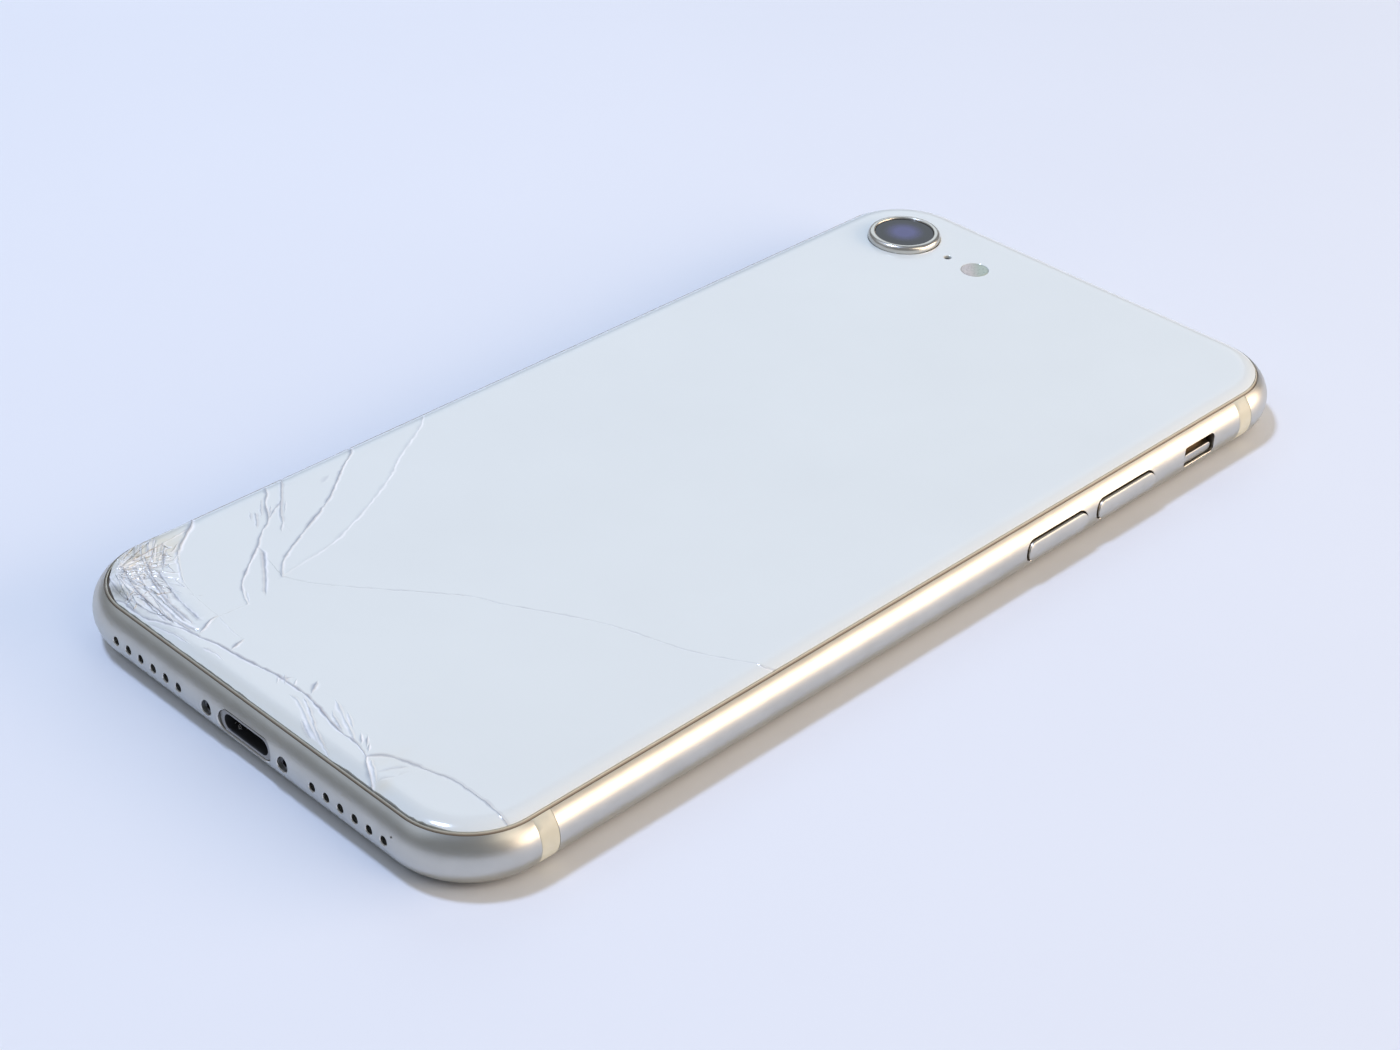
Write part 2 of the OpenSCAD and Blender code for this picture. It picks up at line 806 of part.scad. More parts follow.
module sim_reader() {
    depth = tray_depth + tray_face_t - band_wall + 0.6;
    top = feature_z + tray_t / 2 + pocket_gap;
    y0 = tray_y + tray_plate_shift - tray_plate_len / 2 - pocket_gap;
    y1 = y0 + tray_plate_len + 2 * pocket_gap;
    color(steel) mirror([1, 0, 0]) difference() {
        block([wall_x - depth, y0 - reader_wall, feature_z - tray_t / 2 - pocket_gap - reader_wall],
              [wall_x - 0.1, y1 + reader_wall, board_z]);
        block([wall_x - depth + reader_wall, y0, feature_z - tray_t / 2 - pocket_gap],
              [wall_x + past, y1, top]);
    }
}

// ---- Port end ----

module charge_port() {
    y1 = port_y + port_depth + port_back;
    gap = 2 * fit_gap;
    color(dark) difference() {
        along_y(port_y, y1, 0, feature_z) pill(port_w - gap, port_h - gap);
        along_y(port_y - past, port_y + port_depth, 0, feature_z)
            pill(port_w - gap - 2 * port_wall - 0.9, port_h - gap - 2 * port_wall);
    }
}

module port_contacts() {
    size = [0.4, 3.2, 0.08];
    roof = port_h / 2 - fit_gap - port_wall;
    color("gold") for (s = [-1, 1], i = [0:contact_count - 1])
        translate([(i - (contact_count - 1) / 2) * contact_pitch, port_y + 3.6,
                   feature_z + s * (roof - size[2] / 2)]) cube(size, center = true);
}

module bottom_screws() {
    recess_r = 0.16;
    ring = 0.28;
    color(steel) for (s = [-1, 1]) difference() {
        union() {
            along_y(-half_l + 0.45, screw_seat_y, s * screw_x, feature_z) circle(screw_head_r);
            along_y(screw_seat_y, screw_seat_y + screw_len, s * screw_x, feature_z) circle(screw_r);
        }
        for (i = [0:4]) translate([ring * cos(72 * i), 0, ring * sin(72 * i)])
            along_y(-half_l, -half_l + 0.85, s * screw_x, feature_z) circle(recess_r);
        along_y(-half_l, -half_l + 0.85, s * screw_x, feature_z) circle(ring);
    }
}

module hole_mesh(s) {
    len = (hole_count - 1) * hole_pitch + 2.2;
    mid = hole_first + (hole_count - 1) * hole_pitch / 2;
    intersection() {
        along_y(-wall_y, -wall_y + mesh_t, s * mid, feature_z) square([len, 1.8], center = true);
        inset_plate(band_wall + fit_gap, front_glass_t, adhesive_z);
    }
}

module speaker_mesh() {
    color("dimgray") hole_mesh(-1);
}

module microphone_mesh() {
    color("dimgray") hole_mesh(1);
}

module loudspeaker() {
    x1 = -port_w / 2 - 3.4;
    x0 = -wall_x + 2.6;
    y0 = -wall_y + 4.4;
    color(dark) union() {
        block([x0, y0, inner_z], [x1, -wall_y + bottom_bay - inner_gap, plate_z - inner_gap]);
        block([-hole_first - (hole_count - 1) * hole_pitch - 0.9, -wall_y + mesh_t + fit_gap,
               feature_z - 1], [x1, y0, feature_z + 1]);
    }
}

module bottom_microphones() {
    x = hole_first + (hole_count - 1) * hole_pitch / 2;
    color(steel) block([x - 4, -wall_y + mesh_t + fit_gap, feature_z - 1],
                       [x + 4, -wall_y + 2.6, feature_z + 0.8]);
}

// Space of the haptic motor, as its lowest and highest corners
motor_lo = [port_w / 2 + 3.4, -wall_y + bottom_bay - 10.6, inner_z];
motor_hi = [wall_x - 2.6, -wall_y + bottom_bay - inner_gap, plate_z - inner_gap];

module haptic_motor() {
    wall = [motor_wall, motor_wall, motor_wall];
    color(steel) difference() {
        block(motor_lo, motor_hi);
        block(motor_lo + wall, motor_hi - wall);
    }
}

module haptic_mass() {
    gap = [motor_wall + motor_travel + 0.1, motor_wall + 0.1, motor_wall + 0.1];
    color("gray") block(motor_lo + gap, motor_hi - gap);
}

// ---- Battery and board ----

module battery() {
    color([0.13, 0.13, 0.14]) block([battery_lo[0], battery_lo[1], inner_z],
                                    [battery_hi[0], battery_hi[1], battery_top]);
}

module battery_strips() {
    strip = [9, 13];
    for (x = [battery_lo[0] + 2, battery_hi[0] - 2 - strip[0]], y = [battery_lo[1] + 1,
         battery_hi[1] - 1 - strip[1]])
        color("white") difference() {
            translate([x, y, battery_top]) cube([strip[0], strip[1], strip_t]);
            translate([0, 0, battery_top - past])
                cylinder(h = strip_t + 2 * past, r = coil_r + 2 * inner_gap);
        }
}

module logic_board() {
    x1 = battery_lo[0] - 2 * inner_gap;
    color(green_board) difference() {
        block([board_x, board_low, board_z],
              [x1, camera_y - camera_box / 2 - inner_gap, board_z + board_t]);
        for (p = board_screw_points) translate([p[0], p[1], board_z - past])
            cylinder(h = board_t + 2 * past, r = 0.7);
    }
}

board_screw_points = [
    [board_x + 1.5, board_low + 2],
    [board_x + 1.5, tray_y + tray_len / 2 + 3],
    [battery_lo[0] - 2.2, camera_y - camera_box / 2 - 2.2]];

module board_screws() {
    color(steel) for (p = board_screw_points) translate([p[0], p[1], board_z - 0.5]) {
        cylinder(h = 0.5, r = 1.1);
        cylinder(h = plate_z - board_z + 0.5, r = 0.65);
    }
}

module board_shields() {
    x0 = board_x + 3;
    x1 = battery_lo[0] - 4.2;
    reader_top = tray_y + tray_len / 2 + 1;
    reader_low = tray_y - tray_len / 2 - 2;
    color(steel) {
        block([x0, reader_top, inner_z], [x1, camera_y - camera_box / 2 - 2.4, board_z]);
        block([x0, board_low + 1, inner_z], [x1, reader_low, board_z]);
    }
}

frame();
antenna_bands();
rear_glass();
glass_shard_lower();
glass_shard_1();
glass_shard_2();
glass_shard_3();
glass_shard_4();
glass_shard_corner();
glass_shard_bottom();
glass_shard_right();
rear_gasket();
glass_adhesive();
back_plate();
charging_coil();
coil_ferrite();
camera_ring();
camera_window();
flash_lens();
flash_led();
rear_microphone();
front_glass();
front_gasket();
display_bezel();
lcd_panel();
backlight();
display_shield();
home_button();
home_button_ring();
home_button_bracket();
earpiece_mesh();
earpiece_speaker();
front_camera();
proximity_sensor();
volume_up_button();
volume_down_button();
side_button();
mute_switch();
volume_switches();
side_switch();
mute_switch_base();
sim_tray();
sim_reader();
charge_port();
port_contacts();
bottom_screws();
speaker_mesh();
microphone_mesh();
loudspeaker();
bottom_microphones();
haptic_motor();
haptic_mass();
battery();
battery_strips();
logic_board();
board_shields();
rear_camera();
camera_lens();
board_screws();
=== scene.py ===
"""Looks of a smartphone with a cracked rear glass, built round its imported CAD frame."""

import json
import math
import random

import bmesh
import bpy
import numpy as np
from mathutils import Matrix, Vector
from mathutils.geometry import delaunay_2d_cdt

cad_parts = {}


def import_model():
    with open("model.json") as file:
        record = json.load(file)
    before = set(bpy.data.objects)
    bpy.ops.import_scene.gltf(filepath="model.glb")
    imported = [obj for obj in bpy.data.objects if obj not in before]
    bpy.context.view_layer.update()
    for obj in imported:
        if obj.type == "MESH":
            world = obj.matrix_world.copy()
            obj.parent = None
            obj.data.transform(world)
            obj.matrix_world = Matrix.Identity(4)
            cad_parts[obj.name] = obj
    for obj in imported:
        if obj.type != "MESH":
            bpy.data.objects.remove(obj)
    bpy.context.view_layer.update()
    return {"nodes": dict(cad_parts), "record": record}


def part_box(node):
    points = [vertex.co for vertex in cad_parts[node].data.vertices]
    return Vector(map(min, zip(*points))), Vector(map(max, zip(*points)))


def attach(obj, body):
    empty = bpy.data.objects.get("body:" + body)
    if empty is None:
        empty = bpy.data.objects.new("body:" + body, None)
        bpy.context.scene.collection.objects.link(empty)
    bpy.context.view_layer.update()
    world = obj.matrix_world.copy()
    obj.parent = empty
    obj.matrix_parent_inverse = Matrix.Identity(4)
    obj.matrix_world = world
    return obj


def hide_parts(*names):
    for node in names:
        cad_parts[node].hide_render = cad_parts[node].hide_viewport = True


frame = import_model()

# ---------------------------------------------------------------- sizes, in millimetres
# An inset is measured inwards from the body's outline, and a height up from the screen's face
MM = 0.001


def corners(node):
    """Lowest and highest corners of a CAD node, in millimetres."""
    lo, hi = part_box(node)
    return np.array(lo) / MM, np.array(hi) / MM


def middle_of(node):
    """Middle of a CAD node's box."""
    lo, hi = corners(node)
    return (lo + hi) / 2


def radius_of(node):
    """Radius of a CAD node that is round about Z."""
    lo, hi = corners(node)
    return (hi[0] - lo[0]) / 2


HALF_W, HALF_L = np.abs(corners("frame")).min(axis=0)[:2]
THICK = corners("rear_glass")[1][2]
EDGE_R = THICK / 2
CORNER_R = 10.2
GLASS_INSET = HALF_W - corners("rear_glass")[1][0]
SEAT_INSET = HALF_W - corners("rear_gasket")[1][0]
WALL_INSET = HALF_W - corners("back_plate")[1][0]
WEB_T = 0.6
WEB_INSET = WALL_INSET - WEB_T
GLASS_Z = corners("rear_glass")[0][2]
SEAT_Z = corners("glass_adhesive")[0][2]
FRONT_T = corners("front_glass")[1][2]
FEATURE_Z = middle_of("volume_up_button")[2]
ANTENNA_W = 2.4
BANDS = (corners("antenna_bands")[1][1] - ANTENNA_W, corners("antenna_bands")[1][1])
MIC_FROM_CAMERA = 7.7
RNG = random.Random(7)


def surface_inset(z):
    """How far the round side lies inside the outline at a height."""
    return EDGE_R - math.sqrt(max(EDGE_R ** 2 - (z - EDGE_R) ** 2, 0))


# ---------------------------------------------------------------- mesh building
class Shell:
    """Collects faces in millimetres and welds them into one Blender mesh."""

    def __init__(self):
        self.verts = []
        self.faces = []
        self.kinds = []

    def add(self, points, faces, kind=0):
        start = len(self.verts)
        self.verts.extend(tuple(float(c) for c in p) for p in points)
        self.faces.extend(tuple(start + i for i in f) for f in faces)
        self.kinds.extend([kind] * len(faces))

    def grid(self, rows, close_rows=False, close_columns=False, kind=0):
        """Quads between rows of points; every row has as many points."""
        n_rows, n_cols = len(rows), len(rows[0])
        points = [p for row in rows for p in row]
        faces = []
        for i in range(n_rows if close_rows else n_rows - 1):
            for j in range(n_cols if close_columns else n_cols - 1):
                a, b = i * n_cols, (i + 1) % n_rows * n_cols
                k = (j + 1) % n_cols
                faces.append((a + j, a + k, b + k, b + j))
        self.add(points, faces, kind)

    def lathe(self, profile, centre, steps=72, kinds=None):
        """Turns a closed profile of (radius, height) about Z."""
        for i, (a, b) in enumerate(zip(profile, profile[1:] + profile[:1])):
            if a[0] < 1e-6 and b[0] < 1e-6:
                continue
            rows = []
            for radius, z in (a, b):
                turn = [2 * math.pi * k / steps for k in range(steps)]
                rows.append([(centre[0] + radius * math.cos(t), centre[1] + radius * math.sin(t), z)
                             for t in turn])
            self.grid(rows, close_columns=True, kind=kinds[i] if kinds else 0)

    def build(self, name, materials, sharp=35, weld=0.002):
        mesh = bpy.data.meshes.new(name)
        mesh.from_pydata([tuple(c * MM for c in v) for v in self.verts], [], self.faces)
        mesh.polygons.foreach_set("material_index", self.kinds)
        work = bmesh.new()
        work.from_mesh(mesh)
        bmesh.ops.remove_doubles(work, verts=work.verts, dist=weld * MM)
        bmesh.ops.dissolve_degenerate(work, edges=work.edges, dist=weld * MM / 4)
        bmesh.ops.recalc_face_normals(work, faces=work.faces)
        work.to_mesh(mesh)
        work.free()
        return finish_mesh(mesh, name, materials, sharp)


def mesh_object(name, points, faces, materials, sharp):
    """An object from points in millimetres."""
    mesh = bpy.data.meshes.new(name)
    mesh.from_pydata([tuple(p * MM) for p in points], [], faces)
    return finish_mesh(mesh, name, materials, sharp)


def finish_mesh(mesh, name, materials, sharp):
    for m in materials:
        mesh.materials.append(m)
    mesh.shade_smooth()
    mesh.set_sharp_from_angle(angle=math.radians(sharp))
    obj = bpy.data.objects.new(name, mesh)
    bpy.context.scene.collection.objects.link(obj)
    return obj


def place(obj, body, slot, *nodes):
    """Hangs a new piece on the body it rides on and hides the CAD nodes it stands for; the slot is not used.
    """
    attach(obj, body)
    if nodes:
        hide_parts(*nodes)
    return obj


def fade(start, distance):
    """A tint that falls off with distance: the start less the distance, kept from 0 to 1."""
    return np.clip(start - distance, 0, 1)


def inside(points, loop):
    """Which points lie inside a closed loop."""
    points = np.asarray(points, float)
    x, y = points[:, 0], points[:, 1]
    result = np.zeros(len(points), bool)
    loop = np.asarray(loop, float)
    for (x0, y0), (x1, y1) in zip(loop, np.roll(loop, -1, axis=0)):
        if y0 == y1:
            continue
        crosses = (y0 > y) != (y1 > y)
        result ^= crosses & (x < (x1 - x0) * (y - y0) / (y1 - y0) + x0)
    return result


def triangulate(loops, points=(), lines=()):
    """Constrained triangles over closed loops, open lines and loose points.

    Also says which sources made each edge: a line's number, or a negative number for a loop."""
    coords, edges, owner = [], [], []
    for k, loop in enumerate(loops):
        start = len(coords)
        coords.extend(loop)
        edges.extend((start + i, start + (i + 1) % len(loop)) for i in range(len(loop)))
        owner.extend([-1 - k] * len(loop))
    for k, line in enumerate(lines):
        start = len(coords)
        coords.extend(line)
        edges.extend((start + i, start + i + 1) for i in range(len(line) - 1))
        owner.extend([k] * (len(line) - 1))
    coords.extend(points)
    made = delaunay_2d_cdt([Vector(map(float, c)) for c in coords], edges, [], 0, 1e-5)
    verts = np.array([tuple(v) for v in made[0]])
    tris = np.array([tuple(f) for f in made[2]])
    owners = {}
    for edge, sources in zip(made[1], made[4]):
        owners[tuple(sorted(edge))] = {owner[s] for s in sources if s < len(owner)}
    return verts, tris, owners


def in_face(points, outline, holes):
    """Which points lie inside an outline and outside its holes."""
    keep = inside(points, outline)
    for hole in holes:
        keep &= ~inside(points, hole)
    return keep


def on_edge(points, loop):
    """Which points fall on the points of a loop."""
    return np.min(np.linalg.norm(points[:, None] - np.array(loop)[None], axis=2), axis=1) < 1e-3


def fill(outline, holes=(), points=()):
    """Triangles inside an outline and outside its holes."""
    verts, tris, _ = triangulate([outline, *holes], points)
    return verts, tris[in_face(verts[tris].mean(axis=1), outline, holes)]


def rounded_loop(length, height, radius, grow=0.0, steps=8, at=(0, 0)):
    """Rounded rectangle about a point; a pill or a circle when the radius is half the height."""
    a, b, r = length / 2 - radius, height / 2 - radius, radius + grow
    loop = []
    for k, (sx, sy) in enumerate(((1, 1), (-1, 1), (-1, -1), (1, -1))):
        for i in range(steps + 1):
            t = math.pi / 2 * (k + i / steps)
            loop.append((at[0] + (sx * a + r * math.cos(t)), at[1] + (sy * b + r * math.sin(t))))
    return loop


def without_repeats(loop):
    """The loop with points that fall on each other taken once."""
    kept = []
    for p in loop:
        if not kept or math.dist(p, kept[-1]) > 1e-4:
            kept.append(p)
    if math.dist(kept[0], kept[-1]) < 1e-4:
        kept.pop()
    return kept


def closed_loop(length, height, radius, at, grow=0.0, steps=8):
    """Rounded rectangle as a border for triangles."""
    return without_repeats(rounded_loop(length, height, radius, grow, steps, at))


def circle(radius, at, grow=0.0, steps=8):
    return closed_loop(2 * radius, 2 * radius, radius, at, grow, steps)


# ---------------------------------------------------------------- ring round the body
def ring_stations(step=1.5, corner_steps=24, breaks=None):
    """Stations anticlockwise round the body: side, place along it, base point and outward normal."""
    breaks = breaks or {}
    wx, wy = HALF_W - CORNER_R, HALF_L - CORNER_R
    sides = (("right", wy, lambda u: (wx, u), (1, 0), 1), ("top", wx, lambda u: (u, wy), (0, 1), -1),
             ("left", wy, lambda u: (-wx, u), (-1, 0), -1), ("bottom", wx, lambda u: (u, -wy), (0, -1), 1))
    stations = []
    for k, (side, half, base, normal, way) in enumerate(sides):
        stops = sorted({-half, half, *breaks.get(side, ())})
        places = []
        for a, b in zip(stops, stops[1:]):
            n = max(1, math.ceil((b - a) / step))
            places.extend(a + (b - a) * i / n for i in range(n))
        places.append(half)
        for u in places if way > 0 else reversed(places):
            stations.append((side, u, base(u), normal))
        centre = base(way * half)
        for i in range(1, corner_steps):
            t = math.pi / 2 * (k + i / corner_steps)
            stations.append(("corner", 0.0, centre, (math.cos(t), math.sin(t))))
    return stations


def ring_point(station, inset, z):
    """A point at a station, an inset and a height."""
    _, _, base, normal = station
    reach = CORNER_R - inset
    return (base[0] + normal[0] * reach, base[1] + normal[1] * reach, z)


def ring_loop(inset, step=1.5):
    """Outline of the body moved in by an inset."""
    return [ring_point(s, inset, 0)[:2] for s in ring_stations(step)]


def ring_solid(name, profile, materials):
    """A closed section of (inset, height) swept all the way round."""
    shell = Shell()
    stations = ring_stations()
    for pair in zip(profile, profile[1:] + profile[:1]):
        shell.grid([[ring_point(s, *p) for p in pair] for s in stations], close_rows=True)
    return shell.build(name, materials)


def side_point(side, u, inset, z):
    """A point on a straight side of the body, at a place along it."""
    if side == "bottom":
        return (u, inset - HALF_L, z)
    return ((HALF_W - inset) if side == "right" else (inset - HALF_W), u, z)


# ---------------------------------------------------------------- materials
def finish(name, colour, rough, metallic=0.0, vary=0.06, vary_scale=0.6, rough_vary=0.06, bump=0.002,
           bump_scale=3.0, tints=(), coat=0.0, specular=0.5, sheen=0.0):
    """A procedural finish: noise in its colour and roughness, fine bump, and tints painted by attributes."""
    m = bpy.data.materials.new(name)
    m.use_nodes = True
    tree = m.node_tree
    tree.nodes.clear()
    out = tree.nodes.new("ShaderNodeOutputMaterial")
    shader = tree.nodes.new("ShaderNodeBsdfPrincipled")
    tree.links.new(shader.outputs[0], out.inputs[0])
    shader.inputs["Metallic"].default_value = metallic
    shader.inputs["IOR"].default_value = 1.5
    shader.inputs["Coat Weight"].default_value = coat
    shader.inputs["Coat Roughness"].default_value = 0.06
    shader.inputs["Specular IOR Level"].default_value = specular
    shader.inputs["Sheen Weight"].default_value = sheen
    place_in = tree.nodes.new("ShaderNodeTexCoord")
    scaled = tree.nodes.new("ShaderNodeMapping")
    scaled.inputs["Scale"].default_value = (1 / MM, 1 / MM, 1 / MM)
    tree.links.new(place_in.outputs["Object"], scaled.inputs["Vector"])

    def noise(scale, detail):
        n = tree.nodes.new("ShaderNodeTexNoise")
        n.inputs["Scale"].default_value = scale
        n.inputs["Detail"].default_value = detail
        tree.links.new(scaled.outputs[0], n.inputs["Vector"])
        return n.outputs["Fac"]

    blotches = noise(vary_scale, 4)
    grain = noise(bump_scale, 3)
    ramp = tree.nodes.new("ShaderNodeMapRange")
    ramp.inputs["From Min"].default_value = 0.3
    ramp.inputs["From Max"].default_value = 0.7
    tree.links.new(blotches, ramp.inputs["Value"])
    mix = tree.nodes.new("ShaderNodeMix")
    mix.data_type = "RGBA"
    mix.inputs["A"].default_value = (*[c * (1 - vary) for c in colour], 1)
    mix.inputs["B"].default_value = (*[min(1, c * (1 + vary)) for c in colour], 1)
    tree.links.new(ramp.outputs[0], mix.inputs["Factor"])
    painted = mix.outputs["Result"]
    for attribute, tint in tints:
        reader = tree.nodes.new("ShaderNodeAttribute")
        reader.attribute_name = attribute
        layer = tree.nodes.new("ShaderNodeMix")
        layer.data_type = "RGBA"
        tree.links.new(reader.outputs["Fac"], layer.inputs["Factor"])
        tree.links.new(painted, layer.inputs["A"])
        layer.inputs["B"].default_value = (*tint, 1)
        painted = layer.outputs["Result"]
    tree.links.new(painted, shader.inputs["Base Color"])
    spread = tree.nodes.new("ShaderNodeMapRange")
    spread.inputs["To Min"].default_value = max(0.01, rough - rough_vary)
    spread.inputs["To Max"].default_value = rough + rough_vary
    tree.links.new(grain, spread.inputs["Value"])
    tree.links.new(spread.outputs[0], shader.inputs["Roughness"])
    relief = tree.nodes.new("ShaderNodeBump")
    relief.inputs["Strength"].default_value = 1.0
    relief.inputs["Distance"].default_value = bump * MM
    tree.links.new(grain, relief.inputs["Height"])
    tree.links.new(relief.outputs[0], shader.inputs["Normal"])
    return m


# Tints: worn for wear round the bumped corner; grime_and_shade for dirt round the port and painted shade in
# the slots and on the keys' sides
METAL = finish("band_metal", (0.555, 0.551, 0.518), 0.36, metallic=1.0, vary=0.05, vary_scale=0.25,
               rough_vary=0.05, bump=0.004, bump_scale=9.0,
               tints=[("worn", (0.70, 0.68, 0.62)), ("grime_and_shade", (0.27, 0.21, 0.14))])
POLISHED = finish("polished_metal", (0.66, 0.635, 0.585), 0.25, metallic=1.0, vary=0.03, bump=0.001,
                  rough_vary=0.04)
INLAY = finish("band_plastic", (0.64, 0.615, 0.49), 0.38, vary=0.03, bump_scale=6.0)
# Tints: cream in the crushed corner and under the curved crack; white for crushed glass and for painted
# highlights along the cracks; crack for painted shade in and beside the cracks; grime_and_shade for dirt in
# the crushed corner
GLASS = finish("milky_glass", (0.79, 0.82, 0.79), 0.12, vary=0.012, vary_scale=0.06, rough_vary=0.02,
               bump=0.0006, bump_scale=0.35,
               tints=[("cream", (0.78, 0.745, 0.62)), ("white", (1.0, 1.0, 1.0)),
                      ("crack", (0.42, 0.43, 0.47)), ("grime_and_shade", (0.16, 0.15, 0.10))])
# grime_and_shade: darker where the rear lip goes down into the seam
GASKET = finish("gasket", (0.66, 0.63, 0.50), 0.42, vary=0.08, bump_scale=4.0,
                tints=[("grime_and_shade", (0.22, 0.17, 0.12))])
BLACK_GLASS = finish("black_glass", (0.010, 0.011, 0.014), 0.06, vary=0.1, rough_vary=0.02, bump=0.0004,
                     bump_scale=0.3, tints=[("panel", (0.020, 0.020, 0.022))])
BLACK = finish("dark_plastic", (0.020, 0.020, 0.022), 0.45, vary=0.15, bump=0.003, bump_scale=6.0)
LINER = finish("port_liner", (0.30, 0.29, 0.28), 0.38, metallic=0.6, vary=0.08, bump_scale=6.0)
MASK = finish("lens_mask", (0.006, 0.007, 0.010), 0.10, vary=0.1, rough_vary=0.02, bump=0.0003,
              tints=[("coating", (0.065, 0.065, 0.19))])
LENS = finish("lens_coating", (0.16, 0.15, 0.42), 0.12, metallic=0.75, vary=0.15, vary_scale=0.8,
              rough_vary=0.03, bump=0.0005, coat=1.0)
FLASH = finish("flash_plastic", (0.57, 0.515, 0.475), 0.28, vary_scale=2.0, bump=0.003, coat=0.4,
               tints=[("green", (0.40, 0.47, 0.38))])
SAPPHIRE = finish("sapphire", (0.012, 0.012, 0.015), 0.05, vary=0.05, rough_vary=0.01, bump=0.0003)
STEEL = finish("steel", (0.55, 0.55, 0.56), 0.33, metallic=1.0, bump_scale=8.0)
COPPER = finish("copper", (0.72, 0.40, 0.22), 0.3, metallic=1.0, vary=0.1, bump=0.004, bump_scale=2.0)
GOLD = finish("contact_gold", (0.83, 0.62, 0.26), 0.25, metallic=1.0, bump=0.001)
BOARD = finish("board_green", (0.03, 0.12, 0.08), 0.4, vary=0.2, vary_scale=1.2, bump=0.004)
GLUE = finish("glass_glue", (0.10, 0.075, 0.05), 0.5, vary=0.2, bump=0.004)
TAPE = finish("tape", (0.75, 0.75, 0.72), 0.6, vary=0.05, bump=0.004)
POUCH = finish("battery_wrap", (0.05, 0.05, 0.055), 0.5, vary=0.15, bump=0.006, bump_scale=1.0)
MESH = finish("mesh_metal", (0.05, 0.05, 0.055), 0.5, metallic=0.5, vary=0.4, vary_scale=5.0, bump=0.03,
              bump_scale=6.0)
PALE = finish("panel_layers", (0.10, 0.11, 0.12), 0.35, vary=0.05, bump=0.001)
LINT = finish("lint", (0.55, 0.53, 0.50), 0.9, vary=0.2, bump=0.004, sheen=0.3)
# Screw heads far darker than bare steel: painted shade of the recesses they sit in
SCREW_SHADED = finish("screw_steel_shaded", (0.15, 0.15, 0.16), 0.3, metallic=1.0, vary=0.1, bump_scale=8.0)

SLOT_FINISH = {"band_metal": METAL, "polished_metal": POLISHED, "band_plastic": INLAY, "gasket": GASKET,
               "milky_glass": GLASS, "steel": STEEL, "copper": COPPER, "ferrite": BLACK, "tape": TAPE,
               "lens_glass": MASK, "flash_plastic": FLASH, "black_glass": BLACK_GLASS, "tungsten": STEEL,
               "sapphire": SAPPHIRE, "display_stack": PALE, "dark_plastic": BLACK, "mesh_metal": MESH,
               "contact_gold": GOLD, "battery_wrap": POUCH, "board_green": BOARD}
NODE_FINISH = {"glass_adhesive": GLUE, "bottom_screws": SCREW_SHADED}


def dress_cad_nodes():
    """Gives every CAD node the finish of its material slot."""
    for part in frame["record"]["subparts"]:
        obj = frame["nodes"][part["node"]]
        obj.data.materials.clear()
        obj.data.materials.append(NODE_FINISH.get(part["node"], SLOT_FINISH[part["material_slot"]]))


def paint(obj, name, values):
    """Stores one number per vertex, which a finish reads as a tint."""
    layer = obj.data.attributes.new(name, "FLOAT", "POINT")
    layer.data.foreach_set("value", np.asarray(values, np.float32))


def vertex_array(obj):
    """Vertex positions in millimetres."""
    flat = np.empty(len(obj.data.vertices) * 3, np.float32)
    obj.data.vertices.foreach_get("co", flat)
    return flat.reshape(-1, 3) / MM


# ---------------------------------------------------------------- metal band
SEAM_BEVEL = 0.06
SIDE_STEPS = 22
SEAM_ANGLE = math.acos((EDGE_R - SEAT_INSET + SEAM_BEVEL) / EDGE_R)
ANGLES = [SEAM_ANGLE * (2 * i / SIDE_STEPS - 1) for i in range(SIDE_STEPS + 1)]
ARC = [(EDGE_R - EDGE_R * math.cos(t), EDGE_R + EDGE_R * math.sin(t)) for t in ANGLES]
SEAM_TOP = ARC[-1][1] - SEAM_BEVEL
SEAM_LOW = ARC[0][1] + SEAM_BEVEL
PIN_R = 0.5
CHAMFER = 0.09


def cut(u, z, length, height, radius, depth=None, chamfer=CHAMFER, pins=()):
    """An opening in a side: its middle, rounded outline, floor (none: right through) and pin holes."""
    return {"at": (u, z), "size": (length, height, radius), "depth": depth, "chamfer": chamfer, "pins": pins}


def placed_loop(c, grow=0.0):
    return closed_loop(*c["size"], c["at"], grow, 6 if c["size"][0] == c["size"][1] else 8)


